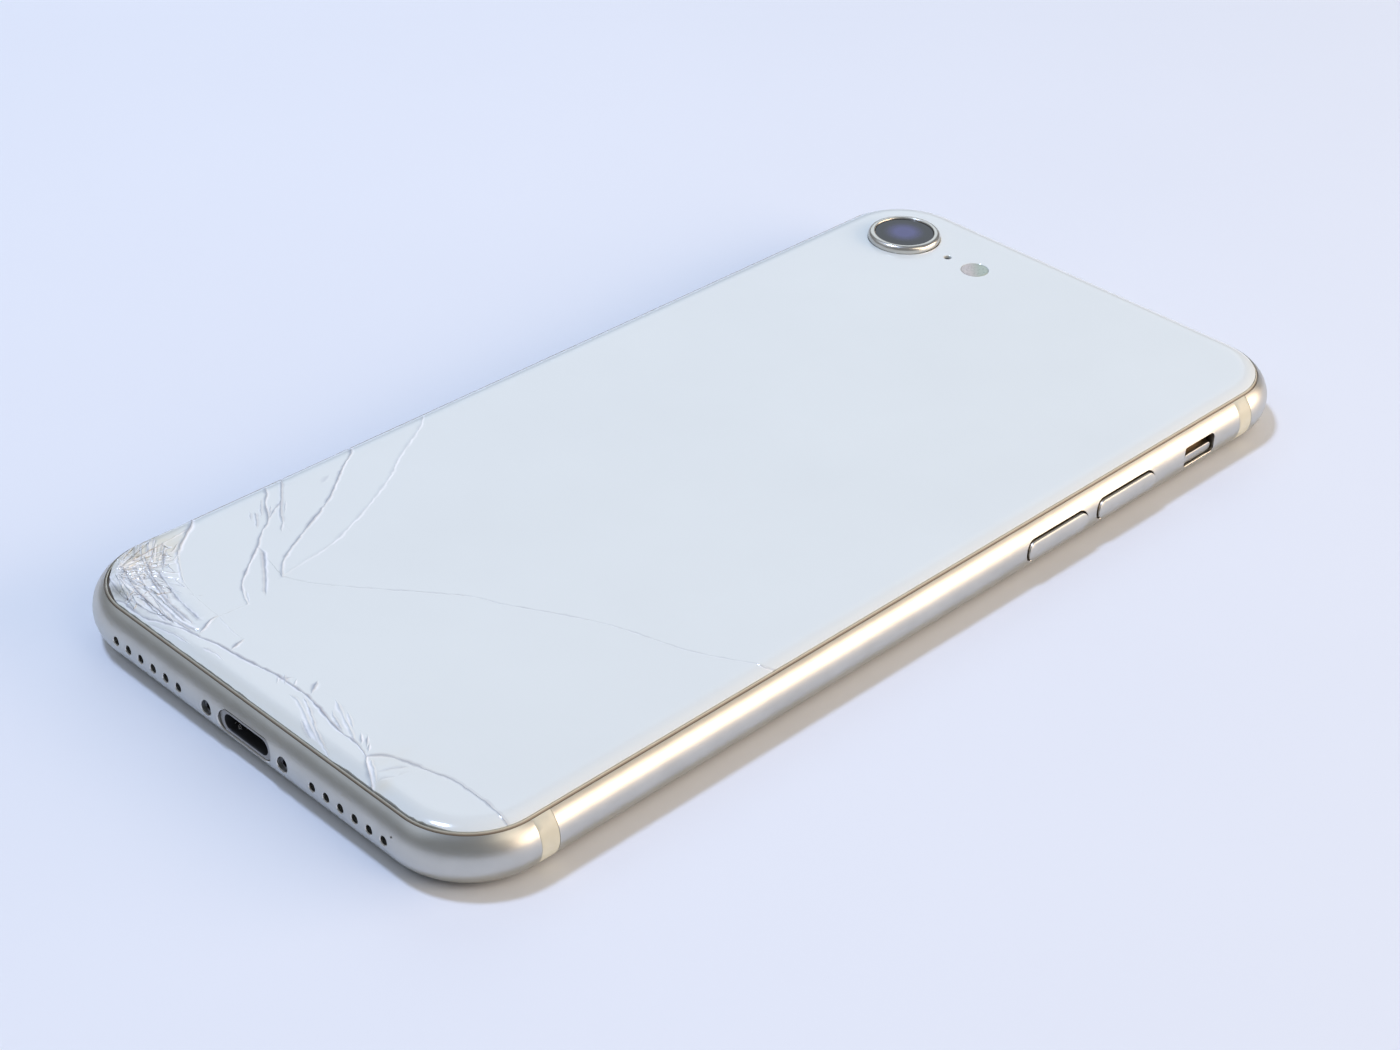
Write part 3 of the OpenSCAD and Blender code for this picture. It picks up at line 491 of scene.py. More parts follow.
def side_patch(shell, side, places, cuts):
    """The round outer face and the flat inner face of a straight stretch, with the cuts through them."""
    def to_flat(p):
        return (p[0], EDGE_R * math.asin((p[1] - EDGE_R) / EDGE_R))

    border = [(u, EDGE_R * ANGLES[0]) for u in places]
    border += [(places[-1], EDGE_R * t) for t in ANGLES[1:]]
    border += [(u, EDGE_R * ANGLES[-1]) for u in reversed(places[:-1])]
    border += [(places[0], EDGE_R * t) for t in reversed(ANGLES[1:-1])]
    loops = [[to_flat(p) for p in placed_loop(c, c["chamfer"])] for c in cuts]
    fine = np.arange(places[0] + 0.5, places[-1] - 0.4, 0.8)
    points = np.array([(u, EDGE_R * t) for u in fine for t in ANGLES[1:-1]])
    clear = np.ones(len(points), bool)
    for c in cuts:
        clear &= ~inside(points, [to_flat(p) for p in placed_loop(c, c["chamfer"] + 0.12)])
    verts, tris = fill(border, loops, [tuple(p) for p in points[clear]])
    shell.add([side_point(side, v[0], EDGE_R * (1 - math.cos(v[1] / EDGE_R)),
                          EDGE_R * (1 + math.sin(v[1] / EDGE_R))) for v in verts], tris)
    inner_holes = []
    for c in cuts:
        outer, edge = placed_loop(c, c["chamfer"]), placed_loop(c)
        floor = WALL_INSET if c["depth"] is None else c["depth"]
        rows = [[side_point(side, u, surface_inset(z), z) for u, z in outer],
                [side_point(side, u, surface_inset(z) + c["chamfer"], z) for u, z in edge],
                [side_point(side, u, floor, z) for u, z in edge]]
        shell.grid(rows[:2], close_columns=True, kind=1)
        shell.grid(rows[1:], close_columns=True)
        if c["depth"] is None:
            inner_holes.append(edge)
            continue
        pins = [circle(PIN_R, (c["at"][0] + du, c["at"][1]), steps=5) for du in c["pins"]]
        flat, faces = fill(edge, pins)
        shell.add([side_point(side, u, floor, z) for u, z in flat], faces)
        for pin in pins:
            shell.grid([[side_point(side, u, d, z) for u, z in pin] for d in (floor, WALL_INSET)],
                       close_columns=True)
            inner_holes.append(pin)
    wall = [(u, FRONT_T) for u in places] + [(u, SEAT_Z) for u in reversed(places)]
    flat, faces = fill(wall, inner_holes)
    shell.add([side_point(side, u, WALL_INSET, z) for u, z in flat], faces)


# Openings in the band: places along their side, sizes, and how deep their floors lie
KEY_PINS = (-3, 3)
KEY_FLOOR, TRAY_FLOOR, SCREW_FLOOR, SPECK_FLOOR = 1.35, 1.5, 1.3, 0.5
MUTE_TRAVEL_ROOM, MUTE_SLOT_H, MUTE_SLOT_R = 0.8, 2.6, 0.55
SOUND_HOLE, SOUND_FIRST, SOUND_STEP = 1.0, 11.15, 2.22
SCREW_HOLE, SCREW_U = 1.7, 6.35
PORT_W, PORT_H = 8.8, 2.7
SPECK, SPECK_U, SPECK_UP = 0.22, 23.3, 1.0


def cut_round(node, gap, depth, chamfer, pins=()):
    """The opening that a key or the tray sits in, with a gap all round."""
    lo, hi = corners(node)
    length, height = hi[1] - lo[1] + 2 * gap, hi[2] - lo[2] + 2 * gap
    return cut((lo[1] + hi[1]) / 2, FEATURE_Z, length, height, height / 2, depth, chamfer, pins)


def round_cut(u, size, z=FEATURE_Z, **more):
    return cut(u, z, size, size, size / 2, **more)


def band_cuts():
    """Every opening in the band, side by side."""
    lo, hi = corners("mute_switch")
    keys = {name: cut_round(name, 0.2, KEY_FLOOR, 0.05, KEY_PINS)
            for name in ("volume_up_button", "volume_down_button", "side_button")}
    mute = cut((lo[1] + hi[1]) / 2, FEATURE_Z, hi[1] - lo[1] + MUTE_TRAVEL_ROOM, MUTE_SLOT_H, MUTE_SLOT_R,
               depth=KEY_FLOOR, chamfer=0.03)
    holes = [round_cut(s * (SOUND_FIRST + SOUND_STEP * i), SOUND_HOLE) for s in (-1, 1) for i in range(6)]
    screws = [round_cut(s * SCREW_U, SCREW_HOLE, depth=SCREW_FLOOR) for s in (-1, 1)]
    port = cut(0, FEATURE_Z, PORT_W, PORT_H, PORT_H / 2, chamfer=0.12)
    speck = round_cut(SPECK_U, SPECK, FEATURE_Z + SPECK_UP, depth=SPECK_FLOOR, chamfer=0.02)
    return {"right": [keys["volume_up_button"], keys["volume_down_button"], mute],
            "left": [keys["side_button"], cut_round("sim_tray", 0.08, TRAY_FLOOR, 0.03)],
            "bottom": holes + screws + [port, speck]}


# Stretches of the band that are built with their openings
PATCHES = {"right": (12.0, 54.5), "left": (0.0, 42.0), "bottom": (CORNER_R - HALF_W, HALF_W - CORNER_R)}
# Where the band is worn and dirty, and how far along the long sides painted shade darkens its slots
BUMPED, WORN_REACH = (-27.5, -66), 9
SLOT_SHADE_WITHIN = 54
PORT_DIRT_REACH, PORT_DIRT_DEPTH = 1.9, 1.6


def band_shell():
    """The metal band, worn where the phone fell, dirty round the port, and with painted shade down in its
    slots.
    """
    cuts = band_cuts()
    breaks = {side: [*ends] for side, ends in PATCHES.items()}
    for side in ("right", "left"):
        breaks[side] += [s * y for s in (-1, 1) for y in BANDS]
    stations = ring_stations(breaks=breaks)
    shell = Shell()
    top = [(SEAT_INSET, SEAM_TOP), (SEAT_INSET, SEAT_Z)]
    low = [(SEAT_INSET, FRONT_T), (SEAT_INSET, SEAM_LOW)]
    seams = [[ARC[-1], *top, (WALL_INSET, SEAT_Z)], [(WALL_INSET, FRONT_T), *low, ARC[0]]]
    web = [(WEB_INSET, FRONT_T), (WEB_INSET, SEAT_Z), (WALL_INSET, SEAT_Z), (WALL_INSET, FRONT_T),
           (WEB_INSET, FRONT_T)]
    for a, b in zip(stations, stations[1:] + stations[:1]):
        same = a[0] == b[0] and a[0] != "corner"
        middle = (a[1] + b[1]) / 2
        groove = same and a[0] in ("right", "left") and BANDS[0] < abs(middle) < BANDS[1]
        holed = same and a[0] in PATCHES and PATCHES[a[0]][0] < middle < PATCHES[a[0]][1]
        profiles = [web] if groove else seams
        if not groove and not holed:
            profiles = seams + [ARC, [(WALL_INSET, SEAT_Z), (WALL_INSET, FRONT_T)]]
        for profile in profiles:
            shell.grid([[ring_point(s, *p) for p in profile] for s in (a, b)])
    section = [*ARC, *top, (WEB_INSET, SEAT_Z), (WEB_INSET, FRONT_T), *low]
    flat, faces = fill(without_repeats(section))
    for side in ("right", "left"):
        for y in BANDS:
            for s in (-1, 1):
                shell.add([side_point(side, s * y, *p) for p in flat], faces)
    for side, (start, end) in PATCHES.items():
        places = sorted({s[1] for s in stations if s[0] == side and start - 1e-6 <= s[1] <= end + 1e-6})
        side_patch(shell, side, places, cuts[side])
    obj = shell.build("band_shell", [METAL, POLISHED], sharp=28)
    at = vertex_array(obj)
    impact = np.hypot(at[:, 0] - BUMPED[0], at[:, 1] - BUMPED[1])
    paint(obj, "worn", fade(1, impact / WORN_REACH) * 0.5)
    port = np.hypot(np.maximum(np.abs(at[:, 0]) - 3, 0), at[:, 2] - FEATURE_Z)
    near_end = at[:, 1] < PORT_DIRT_DEPTH - HALF_L
    # Painted shade: points under the round long sides, in the slots and on the inner wall, are darkened
    slot_shade = np.where(np.abs(at[:, 1]) < SLOT_SHADE_WITHIN, np.clip((sunk(at) - 0.02) / 0.3, 0, 1) * 0.9, 0)
    paint(obj, "grime_and_shade", np.where(near_end, fade(1, port / PORT_DIRT_REACH) * 0.35, slot_shade))
    return place(obj, "housing", "band_metal", "frame")


def antenna_inlays():
    """Four moulded strips, flush with the band, with softened ends."""
    gap, soft = 0.02, 0.05
    shell = Shell()
    closing = [(SEAT_INSET, SEAM_TOP), (SEAT_INSET, SEAT_Z + gap), (WEB_INSET - gap, SEAT_Z + gap),
               (WEB_INSET - gap, FRONT_T - gap), (SEAT_INSET, FRONT_T - gap), (SEAT_INSET, SEAM_LOW)]
    for side in ("right", "left"):
        for s in (-1, 1):
            y0, y1 = sorted((s * BANDS[0], s * BANDS[1]))
            rows = []
            for y, sink in ((y0 + gap, soft), (y0 + gap + soft, 0), (y0 + 0.8, 0), (y1 - 0.8, 0),
                            (y1 - gap - soft, 0), (y1 - gap, soft)):
                face = [(inset + sink, z) for inset, z in ARC]
                rows.append([side_point(side, y, *p) for p in face + closing])
            shell.grid(rows, close_columns=True)
            for y, sink in ((y0 + gap, soft), (y1 - gap, soft)):
                outline = without_repeats([(inset + sink, z) for inset, z in ARC] + closing)
                flat, faces = fill(outline)
                shell.add([side_point(side, y, *p) for p in flat], faces)
    return place(shell.build("antenna_inlays", [INLAY], sharp=40), "housing", "band_plastic", "antenna_bands")


# ---------------------------------------------------------------- cracked rear glass
LEFT, RIGHT, LOW = GLASS_INSET - HALF_W, HALF_W - GLASS_INSET, GLASS_INSET - HALF_L


def from_left(*pairs):
    return [(LEFT + x, LOW + y) for x, y in pairs]


def from_right(*pairs):
    return [(RIGHT - x, LOW + y) for x, y in pairs]


# Points of the long cracks, from the glass's lower left corner as the rear is seen with the port end down
HUB, FORK, TIP, KNEE, LOW_LEFT, LOW_RIGHT = from_left(
    (16, 15.5), (9.7, 17.0), (17.7, 9.6), (17.4, 6.1), (18.8, 2.4), (46.4, 2.5))
CRACK_A = from_left((-2, 49.5), (1.8, 47), (5.8, 40.4), (8.7, 36.2), (11.5, 31), (14, 25.3), (14.9, 22.2),
                    (15.5, 18.1))
CRACK_B = from_left((-2, 38.5), (1.3, 36.8), (3.2, 34.1), (7.5, 28.5), (11.5, 21.2), (13.7, 17.5))
CRACK_C = from_left((-2, 29), (0.6, 27.2), (3.5, 25), (5.7, 23.2), (7.6, 22)) + [CRACK_B[4]]
CRACK_D = from_left((-2, 26), (1.5, 24.4), (3.6, 22.7), (6.2, 21.1), (7.7, 19.1))
CRACK_D2 = from_left((12.1, 13.9), (14.1, 11.6), (15.9, 10.4))
CRACK_F = from_left((-2, 16.5), (0.7, 14.7), (2, 13.3), (3.4, 11.5), (4.9, 9.8), (7.6, 8.2), (9.7, 7.1),
                    (12.8, 6.4))
CRACK_G1 = from_left((5, -2), (7.3, 0.2), (9.5, 0.4), (12.2, 0.5), (14.3, 1.2), (17.1, 2.1))
CRACK_G2 = from_left((22.2, 3.1), (25.1, 3.4), (29, 4.1), (32.4, 4.3), (35, 4.3), (37.6, 3.8), (40.8, 3.2),
                     (44.2, 3.1))
CRACK_G3 = from_left((47.4, 1.7), (49.2, 0.7), (50.3, -0.2), (51, -2))
CRACK_J = from_left((46.9, 3.3), (48.1, 4.3), (50.3, 5), (52.7, 5.7), (55.4, 6.4), (60.3, 6.4), (62.7, 6.1),
                    (66, 5.8))
CRACK_K = [*from_left((20.5, 18), (31.8, 27.3)),
           *from_right((27.2, 29.7), (17.6, 35), (7.8, 38.3), (0.8, 42.2), (-2, 44))]
# Cracks that part the glass: their points, half width and depth, how strong their painted shade and their
# painted white highlight are, and how much of that is left at each end
THROUGH = [
    ([*CRACK_A, HUB], 0.21, 0.022, 0.24, 0.9, (1, 0)), ([*CRACK_B, HUB], 0.22, 0.055, 0.75, 0.75, (1, 0.5)),
    (CRACK_C[:-1], 0.20, 0.06, 0.7, 0.5, (1, 0.6)), (CRACK_C[-2:], 0.05, 0.004, 0.02, 0.05, (1, 1)),
    ([*CRACK_D, FORK], 0.22, 0.06, 0.7, 0.5, (0.5, 1)), ([FORK, HUB], 0.05, 0.002, 0.01, 0.02, (1, 1)),
    ([FORK, *CRACK_D2, TIP], 0.20, 0.055, 0.75, 0.9, (1, 0.3)),
    ([TIP, KNEE], 0.05, 0.002, 0.02, 0.1, (1, 1)),
    (CRACK_F[:5], 0.26, 0.08, 0.8, 1.0, (1, 0.5)), (CRACK_F[4:7], 0.22, 0.05, 0.15, 1.0, (0.8, 0.5)),
    ([*CRACK_F[6:], KNEE], 0.08, 0.01, 0.03, 0.3, (1, 1)),
    ([KNEE, LOW_LEFT], 0.05, 0.004, 0.02, 0.1, (1, 1)),
    ([*CRACK_G1, LOW_LEFT, *CRACK_G2, LOW_RIGHT], 0.17, 0.07, 1.0, 0.9, (1, 1)),
    ([LOW_RIGHT, *CRACK_G3], 0.22, 0.08, 0.6, 1.0, (1, 1)),
    ([LOW_RIGHT, *CRACK_J], 0.20, 0.05, 0.62, 0.3, (1, 0.8)),
    ([HUB, *CRACK_K], 0.12, 0.014, 0.3, 0.3, (0.2, 1))]
# Cracks that end inside a piece, without the last pair; a negative half width turns the side with the painted
# highlight round
BLIND = [(from_left(*points), *rest) for points, *rest in (
    (((4.3, 24.4), (5.1, 22.8), (6.2, 21.1)), 0.20, 0.05, 0.6, 0.4),
    (((3.9, 21.0), (5.4, 20.1), (6.7, 19.2)), 0.18, 0.05, 0.6, 0.5),
    (((3.4, 20.7), (5.1, 19.6)), 0.12, 0.03, 0.4, 0.3),
    (((2.3, 23.1), (3.6, 22.1), (5.4, 20.8)), 0.16, 0.04, 0.45, 0.4),
    (((4.0, 23.2), (6.0, 21.4)), 0.14, 0.04, 0.4, 0.3),
    (((4.3, 25), (6.5, 23.2)), 0.14, 0.03, 0.3, 0.4),
    (((7.4, 22.2), (9.1, 20.7)), 0.20, 0.05, 0.55, 0.7),
    (((3.4, 32.0), (4.4, 30.0)), 0.30, 0.02, 0.35, 0.1),
    (((9.9, 17.0), (10.9, 16.8), (13.0, 15.4), (15.4, 13.7), (17.7, 11.9)), -0.24, 0.07, 0.75, 1.0),
    (((17.6, 9.9), (16.3, 10.5), (15.6, 11.0)), -0.16, 0.05, 0.1, 1.0),
    (((12.0, 6.2), (12.5, 6.6)), 0.26, 0.06, 0.1, 1.0),
    (((12.9, 6.8), (13.2, 7.2)), 0.24, 0.06, 0.1, 1.0),
    (((18.6, 2.7), (18.0, 3.9), (17.4, 5.0), (17.3, 6.1)), 0.22, 0.09, 0.95, 1.0),
    (((17.3, 6.1), (20.3, 5.6), (22.4, 5.5)), 0.12, 0.02, 0.12, 0.5),
    (((22.5, 5.6), (22.7, 4.6), (23.1, 3.4)), 0.23, 0.09, 0.95, 1.0),
    (((33.4, 6.7), (34.0, 5.8), (34.7, 4.7)), 0.26, 0.07, 0.8, 0.8),
    (((30.2, 4.9), (31.6, 3.9)), 0.24, 0.08, 0.6, 1.0),
    (((30.6, 3.8), (31.2, 5.2)), 0.22, 0.08, 0.7, 1.0),
    (((31.6, 5.4), (32.6, 4.2)), 0.22, 0.07, 0.4, 1.0),
    (((29.9, 4.3), (30.9, 3.4)), 0.20, 0.06, 0.3, 1.0),
    (((33.2, 3.2), (34.5, 3.2), (36.2, 2.6), (37.8, 1.9), (39.5, 1.2), (41.2, 0.6)), 0.28, 0.07, 0.3, 1.0),
    (((34.6, 4.0), (36.2, 3.3), (37.9, 2.5), (39.7, 1.5), (41.5, 0.8), (43.9, 0.0)), 0.22, 0.07, 0.45, 1.0),
    (((37.2, 1.5), (38.8, 0.9), (40.4, 0.4)), -0.18, 0.06, 0.5, 0.9),
    (((36.8, 6.1), (37.8, 5.8), (39.8, 4.9), (42.0, 4.0), (43.9, 3.2)), 0.26, 0.07, 0.25, 1.0),
    (((38.3, 4.6), (40.0, 3.9), (41.6, 3.4)), 0.20, 0.06, 0.4, 0.9),
    (((39.4, 5.7), (40.5, 5.2), (42.0, 4.4)), 0.22, 0.06, 0.2, 1.0),
    (((43.0, 4.6), (44.6, 3.3)), 0.16, 0.06, 0.5, 1.0),
    (((43.8, 4.8), (45.3, 3.4)), 0.18, 0.07, 0.9, 0.8),
    (((44.9, 4.2), (46.0, 3.0)), 0.16, 0.06, 0.5, 0.9),
    (((47.0, 2.6), (48.7, 1.6), (50.2, 0.7)), 0.24, 0.07, 0.25, 1.0),
    (((48.9, 1.7), (49.3, 2.6), (49.8, 3.6), (50.5, 4.6)), 0.24, 0.03, 0.4, 0.3),
    (((50.0, 0.9), (50.2, 1.8), (50.8, 2.8)), 0.22, 0.03, 0.3, 0.3),
    (((12.9, 0.2), (14.8, 0.5), (17.0, 0.9), (19.4, 1.0)), 0.16, 0.05, 0.5, 0.8),
    (((20.5, 1.4), (22.3, 1.9), (24.0, 1.8)), 0.16, 0.04, 0.3, 0.9))]
BLIND.append((from_right((-0.5, 43.4), (0.5, 42.1), (1.8, 41.7)), 0.14, 0.07, 0.5, 0.9))
# Long splinters that run from the crushed corner along the port end
ALONG = [from_left(*points) for points in (
    ((3.3, 3.8), (7.8, 2.5), (13.8, 2.0), (15.0, 2.2), (18.4, 2.5)),
    ((3.8, 4.8), (8.8, 3.3), (14.8, 2.6), (17.6, 2.9)), ((4.8, 5.5), (10.8, 3.9), (16.3, 3.4)),
    ((2.4, 2.2), (6.8, 1.0), (9.6, 1.2), (11.9, 1.4), (13.2, 2.0)), ((5.8, 2.9), (10.8, 1.9), (14.0, 1.6)),
    ((6.5, 6.2), (11.5, 4.9), (16.2, 4.3)), ((3.0, 6.8), (7.0, 5.2), (11.0, 4.2)),
    ((8.0, 4.6), (12.5, 3.4), (15.5, 3.0)))]
IMPACT = np.array(from_left((2.9, 2.9))[0])
CORNER_ZONE = [*CRACK_F, KNEE, LOW_LEFT, *reversed(CRACK_G1), (LEFT - 4, LOW - 4)]


def curve_through(points, step, wobble):
    """A smooth line through the points, made ragged by a wobble."""
    points = [np.array(p, float) for p in points]
    ends = [2 * points[0] - points[1], *points, 2 * points[-1] - points[-2]]
    line = []
    for p0, p1, p2, p3 in zip(ends, ends[1:], ends[2:], ends[3:]):
        n = max(1, round(np.linalg.norm(p2 - p1) / step))
        across = np.array([-(p2 - p1)[1], (p2 - p1)[0]]) / np.linalg.norm(p2 - p1)
        sway = [RNG.gauss(0, wobble) for _ in range(n + 1)]
        for i in range(n):
            t = i / n
            p = 0.5 * (2 * p1 + (p2 - p0) * t + (2 * p0 - 5 * p1 + 4 * p2 - p3) * t ** 2
                       + (3 * p1 - p0 - 3 * p2 + p3) * t ** 3)
            line.append(p + across * sway[i] * (i > 0))
    line.append(points[-1])
    return np.array(line)


def within(line, zone):
    """The first stretch of a line that lies in a zone."""
    flags = inside(line, zone)
    start = int(np.argmax(flags))
    end = start
    while end < len(line) and flags[end]:
        end += 1
    return line[start:end]


def way_of(angle):
    """Unit step at an angle."""
    return np.array([math.cos(angle), math.sin(angle)])


def dash(start, turn, length, steps):
    """A straight splinter, as far as it lies in the crushed corner."""
    line = np.array([start + k * length / steps * way_of(turn) for k in range(steps + 1)])
    return within(line, CORNER_ZONE)


def splinter(line, half, depth, dark, white):
    """A splinter's line with the side of its painted highlight, and the strengths of its painted shade and
    highlight drawn at random.
    """
    return line, RNG.choice((-1, 1)) * half, depth, RNG.uniform(*dark), RNG.uniform(*white)


def crushed_cracks():
    """Splinters in the crushed corner: rays from the impact, breaks across, hackle marks, long slivers."""
    made = []
    spokes = []
    count = 22
    for i in range(count):
        t = math.radians(-20 + 140 * (i + RNG.uniform(-0.32, 0.32)) / (count - 1))
        reach = RNG.uniform(6.5, 12.5)
        bend = RNG.uniform(-0.25, 0.25)
        start = RNG.uniform(0.5, 1.3)
        line = within(np.array([IMPACT + r * way_of(t + bend * (r / reach) ** 2 * 0.5)
                                for r in np.linspace(start, reach, 13)]), CORNER_ZONE)
        if len(line) > 4:
            spokes.append(line)
            made.append(splinter(line[::2], 0.12, 0.05, (0.0, 0.35), (0.5, 1.0)))
    for a, b in zip(spokes, spokes[1:]):
        for _ in range(RNG.choice((2, 3, 4))):
            i, j = RNG.randrange(len(a)), RNG.randrange(len(b))
            j = min(max(j, i - 1), i + 1, len(b) - 1)
            p, q = a[i], b[j]
            sway = np.array([RNG.uniform(-0.1, 0.1), RNG.uniform(-0.1, 0.1)])
            made.append(splinter([p, (p + q) / 2 + sway, q], 0.10, 0.05, (0.0, 0.25), (0.5, 1.0)))
    for _ in range(90):
        t, r = math.radians(RNG.uniform(-35, 150)), 5.0 * math.sqrt(RNG.uniform(0, 1))
        p = IMPACT + (1.3, 0) + r * np.array([math.cos(t), 0.7 * math.sin(t)])
        turn, length = RNG.uniform(0, math.tau), RNG.uniform(0.4, 1.1)
        line = dash(p, turn, length, 4)
        if len(line) > 2:
            made.append((line, RNG.choice((-1, 1)) * 0.11, 0.07, RNG.choice((0.0, 0.05, 0.15, 0.7)),
                         RNG.uniform(0.7, 1.0)))
    for i in range(20):
        p = np.array(from_left((0.9 + 0.28 * i, 6.4 + RNG.uniform(-0.6, 1.6)))[0])
        turn, length = math.radians(RNG.uniform(134, 147)), RNG.uniform(2.0, 4.5)
        line = dash(p, turn, length, 10)
        if len(line) > 3:
            made.append(splinter(line[::2], 0.13, 0.04, (0.15, 0.5), (0.3, 0.9)))
    made.extend((line, RNG.choice((-1, 1)) * 0.17, 0.07, RNG.uniform(0.45, 0.85), 1.0) for line in ALONG)
    return made


def dome_height(xy):
    """Height of the unbroken rear glass: flat, then rolling over at its rim."""
    half = np.array([HALF_W - CORNER_R, HALF_L - CORNER_R])
    out = np.abs(xy) - half
    distance = np.hypot(*np.maximum(out, 0).T) + np.minimum(out.max(axis=1), 0)
    beyond = np.clip(distance - (CORNER_R - EDGE_R), 0, EDGE_R - 0.01)
    return EDGE_R + np.sqrt(EDGE_R ** 2 - beyond ** 2)


def nearest(points, line):
    """Distance from each point to a line, and how far along the line that is, from 0 to 1."""
    best = np.full(len(points), 1e9)
    where = np.zeros(len(points))
    lengths = np.linalg.norm(np.diff(line, axis=0), axis=1)
    run = np.concatenate([[0], np.cumsum(lengths)])
    for a, b, start, length in zip(line, line[1:], run, lengths):
        if length < 1e-9:
            continue
        t = np.clip(((points - a) @ (b - a)) / length ** 2, 0, 1)
        d = np.linalg.norm(points - a - t[:, None] * (b - a), axis=1)
        closer = d < best
        best[closer] = d[closer]
        where[closer] = ((start + t * length) / run[-1])[closer]
    return best, where


def uneven(low, high, count):
    """Smoothed random numbers along a line."""
    return np.convolve([RNG.uniform(low, high) for _ in range(count + 2)], [0.25, 0.5, 0.25], "valid")


def crack_lines():
    """All cracks as ragged lines, with width, depth, painted shade and painted highlight along them, and
    whether they part the glass.
    """
    made = []
    for source, parts in ((THROUGH, True), (crushed_cracks(), True), (BLIND, False)):
        for points, half, depth, dark, white, *ends in source:
            line = curve_through(points, step=0.45 if len(points) > 3 else 0.3, wobble=0.03)
            count = len(line)
            beat = uneven(0.45, 1.3, count)
            glint = uneven(0.2, 1.5, count)
            taper = np.ones(count)
            if not parts:
                taper = np.minimum(1, np.minimum(np.arange(count), np.arange(count)[::-1]) / 2.5 + 0.1)
            first, last = ends[0] if ends else (1, 1)
            tone = np.interp(np.linspace(0, 1, count), (0, 0.25, 0.75, 1), (first, 1, 1, last)) * taper
            made.append({"line": line, "width": abs(half) * beat * taper, "flip": half < 0, "parts": parts,
                         "depth": math.copysign(depth, -half) * beat * taper,
                         "dark": dark * tone * np.minimum(beat, 1.1), "white": white * tone * glint})
    return made


def across_line(line):
    """Unit steps across a line, towards the side that faces the camera's corner of the phone, which gets the
    painted highlight.
    """
    along = np.gradient(line, axis=0)
    along /= np.linalg.norm(along, axis=1)[:, None]
    across = np.stack([-along[:, 1], along[:, 0]], 1)
    return across * (1 if across.mean(axis=0) @ (0.8, -0.6) > 0 else -1)


# How far the painted white highlight and the painted grey shade reach from a crack, in half widths of it
GLINT_REACH = 2.2


def side_lines(crack):
    """Lines beside a crack: its two lips, and the edges of the painted white highlight and of the painted
    grey shade.
    """
    across = across_line(crack["line"]) * (-1 if crack["flip"] else 1)
    return [crack["line"] + across * crack["width"][:, None] * k for k in (1, -1, GLINT_REACH, -GLINT_REACH)]


def crack_marks(points, cracks):
    """Groove depth, painted shade and painted white highlight at each point."""
    depth, dark, white = np.zeros((3, len(points)))
    most = np.zeros(len(points))
    for crack in cracks:
        line = crack["line"]
        lo, hi = line.min(axis=0) - 1, line.max(axis=0) + 1
        near = np.where(((points >= lo) & (points <= hi)).all(axis=1))[0]
        if len(near) == 0:
            continue
        distance, t = nearest(points[near], line)
        stops = line_stops(line)
        width = np.interp(t, stops, crack["width"]) + 1e-6
        level = np.clip(1 - distance / width, 0, 1)
        across = across_line(line) * (-1 if crack["flip"] else 1)
        foot = np.stack([np.interp(t, stops, line[:, k]) for k in (0, 1)], 1)
        way = np.stack([np.interp(t, stops, across[:, k]) for k in (0, 1)], 1)
        bright = ((points[near] - foot) * way).sum(axis=1) > 0
        out = distance / width
        # Painted highlight on the side facing the camera's corner; painted shade on the other side and in the
        # groove
        glint_band = np.where(bright, np.clip((GLINT_REACH - out) / 1.2, 0, 1) * np.clip(out, 0, 1), 0)
        shaded = np.where(bright, level, np.clip(1 - out / GLINT_REACH, 0, 1))
        mine = level * np.interp(t, stops, crack["depth"])
        stronger = np.abs(mine) > most[near]
        depth[near[stronger]] = mine[stronger]
        most[near] = np.maximum(most[near], np.abs(mine))
        dark[near] = np.maximum(dark[near], shaded * np.interp(t, stops, crack["dark"]))
        white[near] = np.maximum(white[near], glint_band * np.interp(t, stops, crack["white"]))
    return depth, dark, np.clip(white, 0, 1)


def line_stops(line):
    """How far along a line each of its points is, from 0 to 1."""
    run = np.concatenate([[0], np.cumsum(np.linalg.norm(np.diff(line, axis=0), axis=1))])
    return run / run[-1]


def pane_points():
    """Loose points: rings along the rolled rim, a coarse grid, and a fine one where the glass is broken."""
    points = []
    for inset in (*(GLASS_INSET + step for step in (0.12, 0.3, 0.55, 0.9, 1.3)), EDGE_R, EDGE_R + 0.5):
        points.extend(ring_loop(inset, step=1.1))
    for x in np.arange(-HALF_W + 5, HALF_W - 4, 5.0):
        points.extend((x, y) for y in np.arange(-HALF_L + 5, HALF_L - 4, 5.0))
    for reach, start, step in ((20, 1.9, 0.8), (12, 1.0, 0.45)):
        for x in np.arange(LEFT + start, LEFT + reach, step):
            points.extend((x + RNG.uniform(-0.2, 0.2), y + RNG.uniform(-0.2, 0.2))
                          for y in np.arange(LOW + start, LOW + 0.85 * reach, step))
    return points


def chipped_outline():
    """Outline of the rear glass, with bites out of its rim at the crushed corner and along the port end."""
    loop = []
    for station in ring_stations(0.8):
        x, y, _ = ring_point(station, GLASS_INSET, 0)
        along, up = x - LEFT, y - LOW
        bite = 0.0
        if along + up < 8.2:
            bite = fade(1.6, abs(along - 4.1) / 2.2) * RNG.uniform(0.16, 0.28)
        elif up < 1.6 and 44.5 < along < 60:
            bite = fade(4, abs(along - 52.2) / 2) * RNG.uniform(0.06, 0.17)
        elif up < 0.1 and along < 30:
            bite = RNG.uniform(0, 0.07)
        loop.append(ring_point(station, GLASS_INSET + bite, 0)[:2])
    return loop


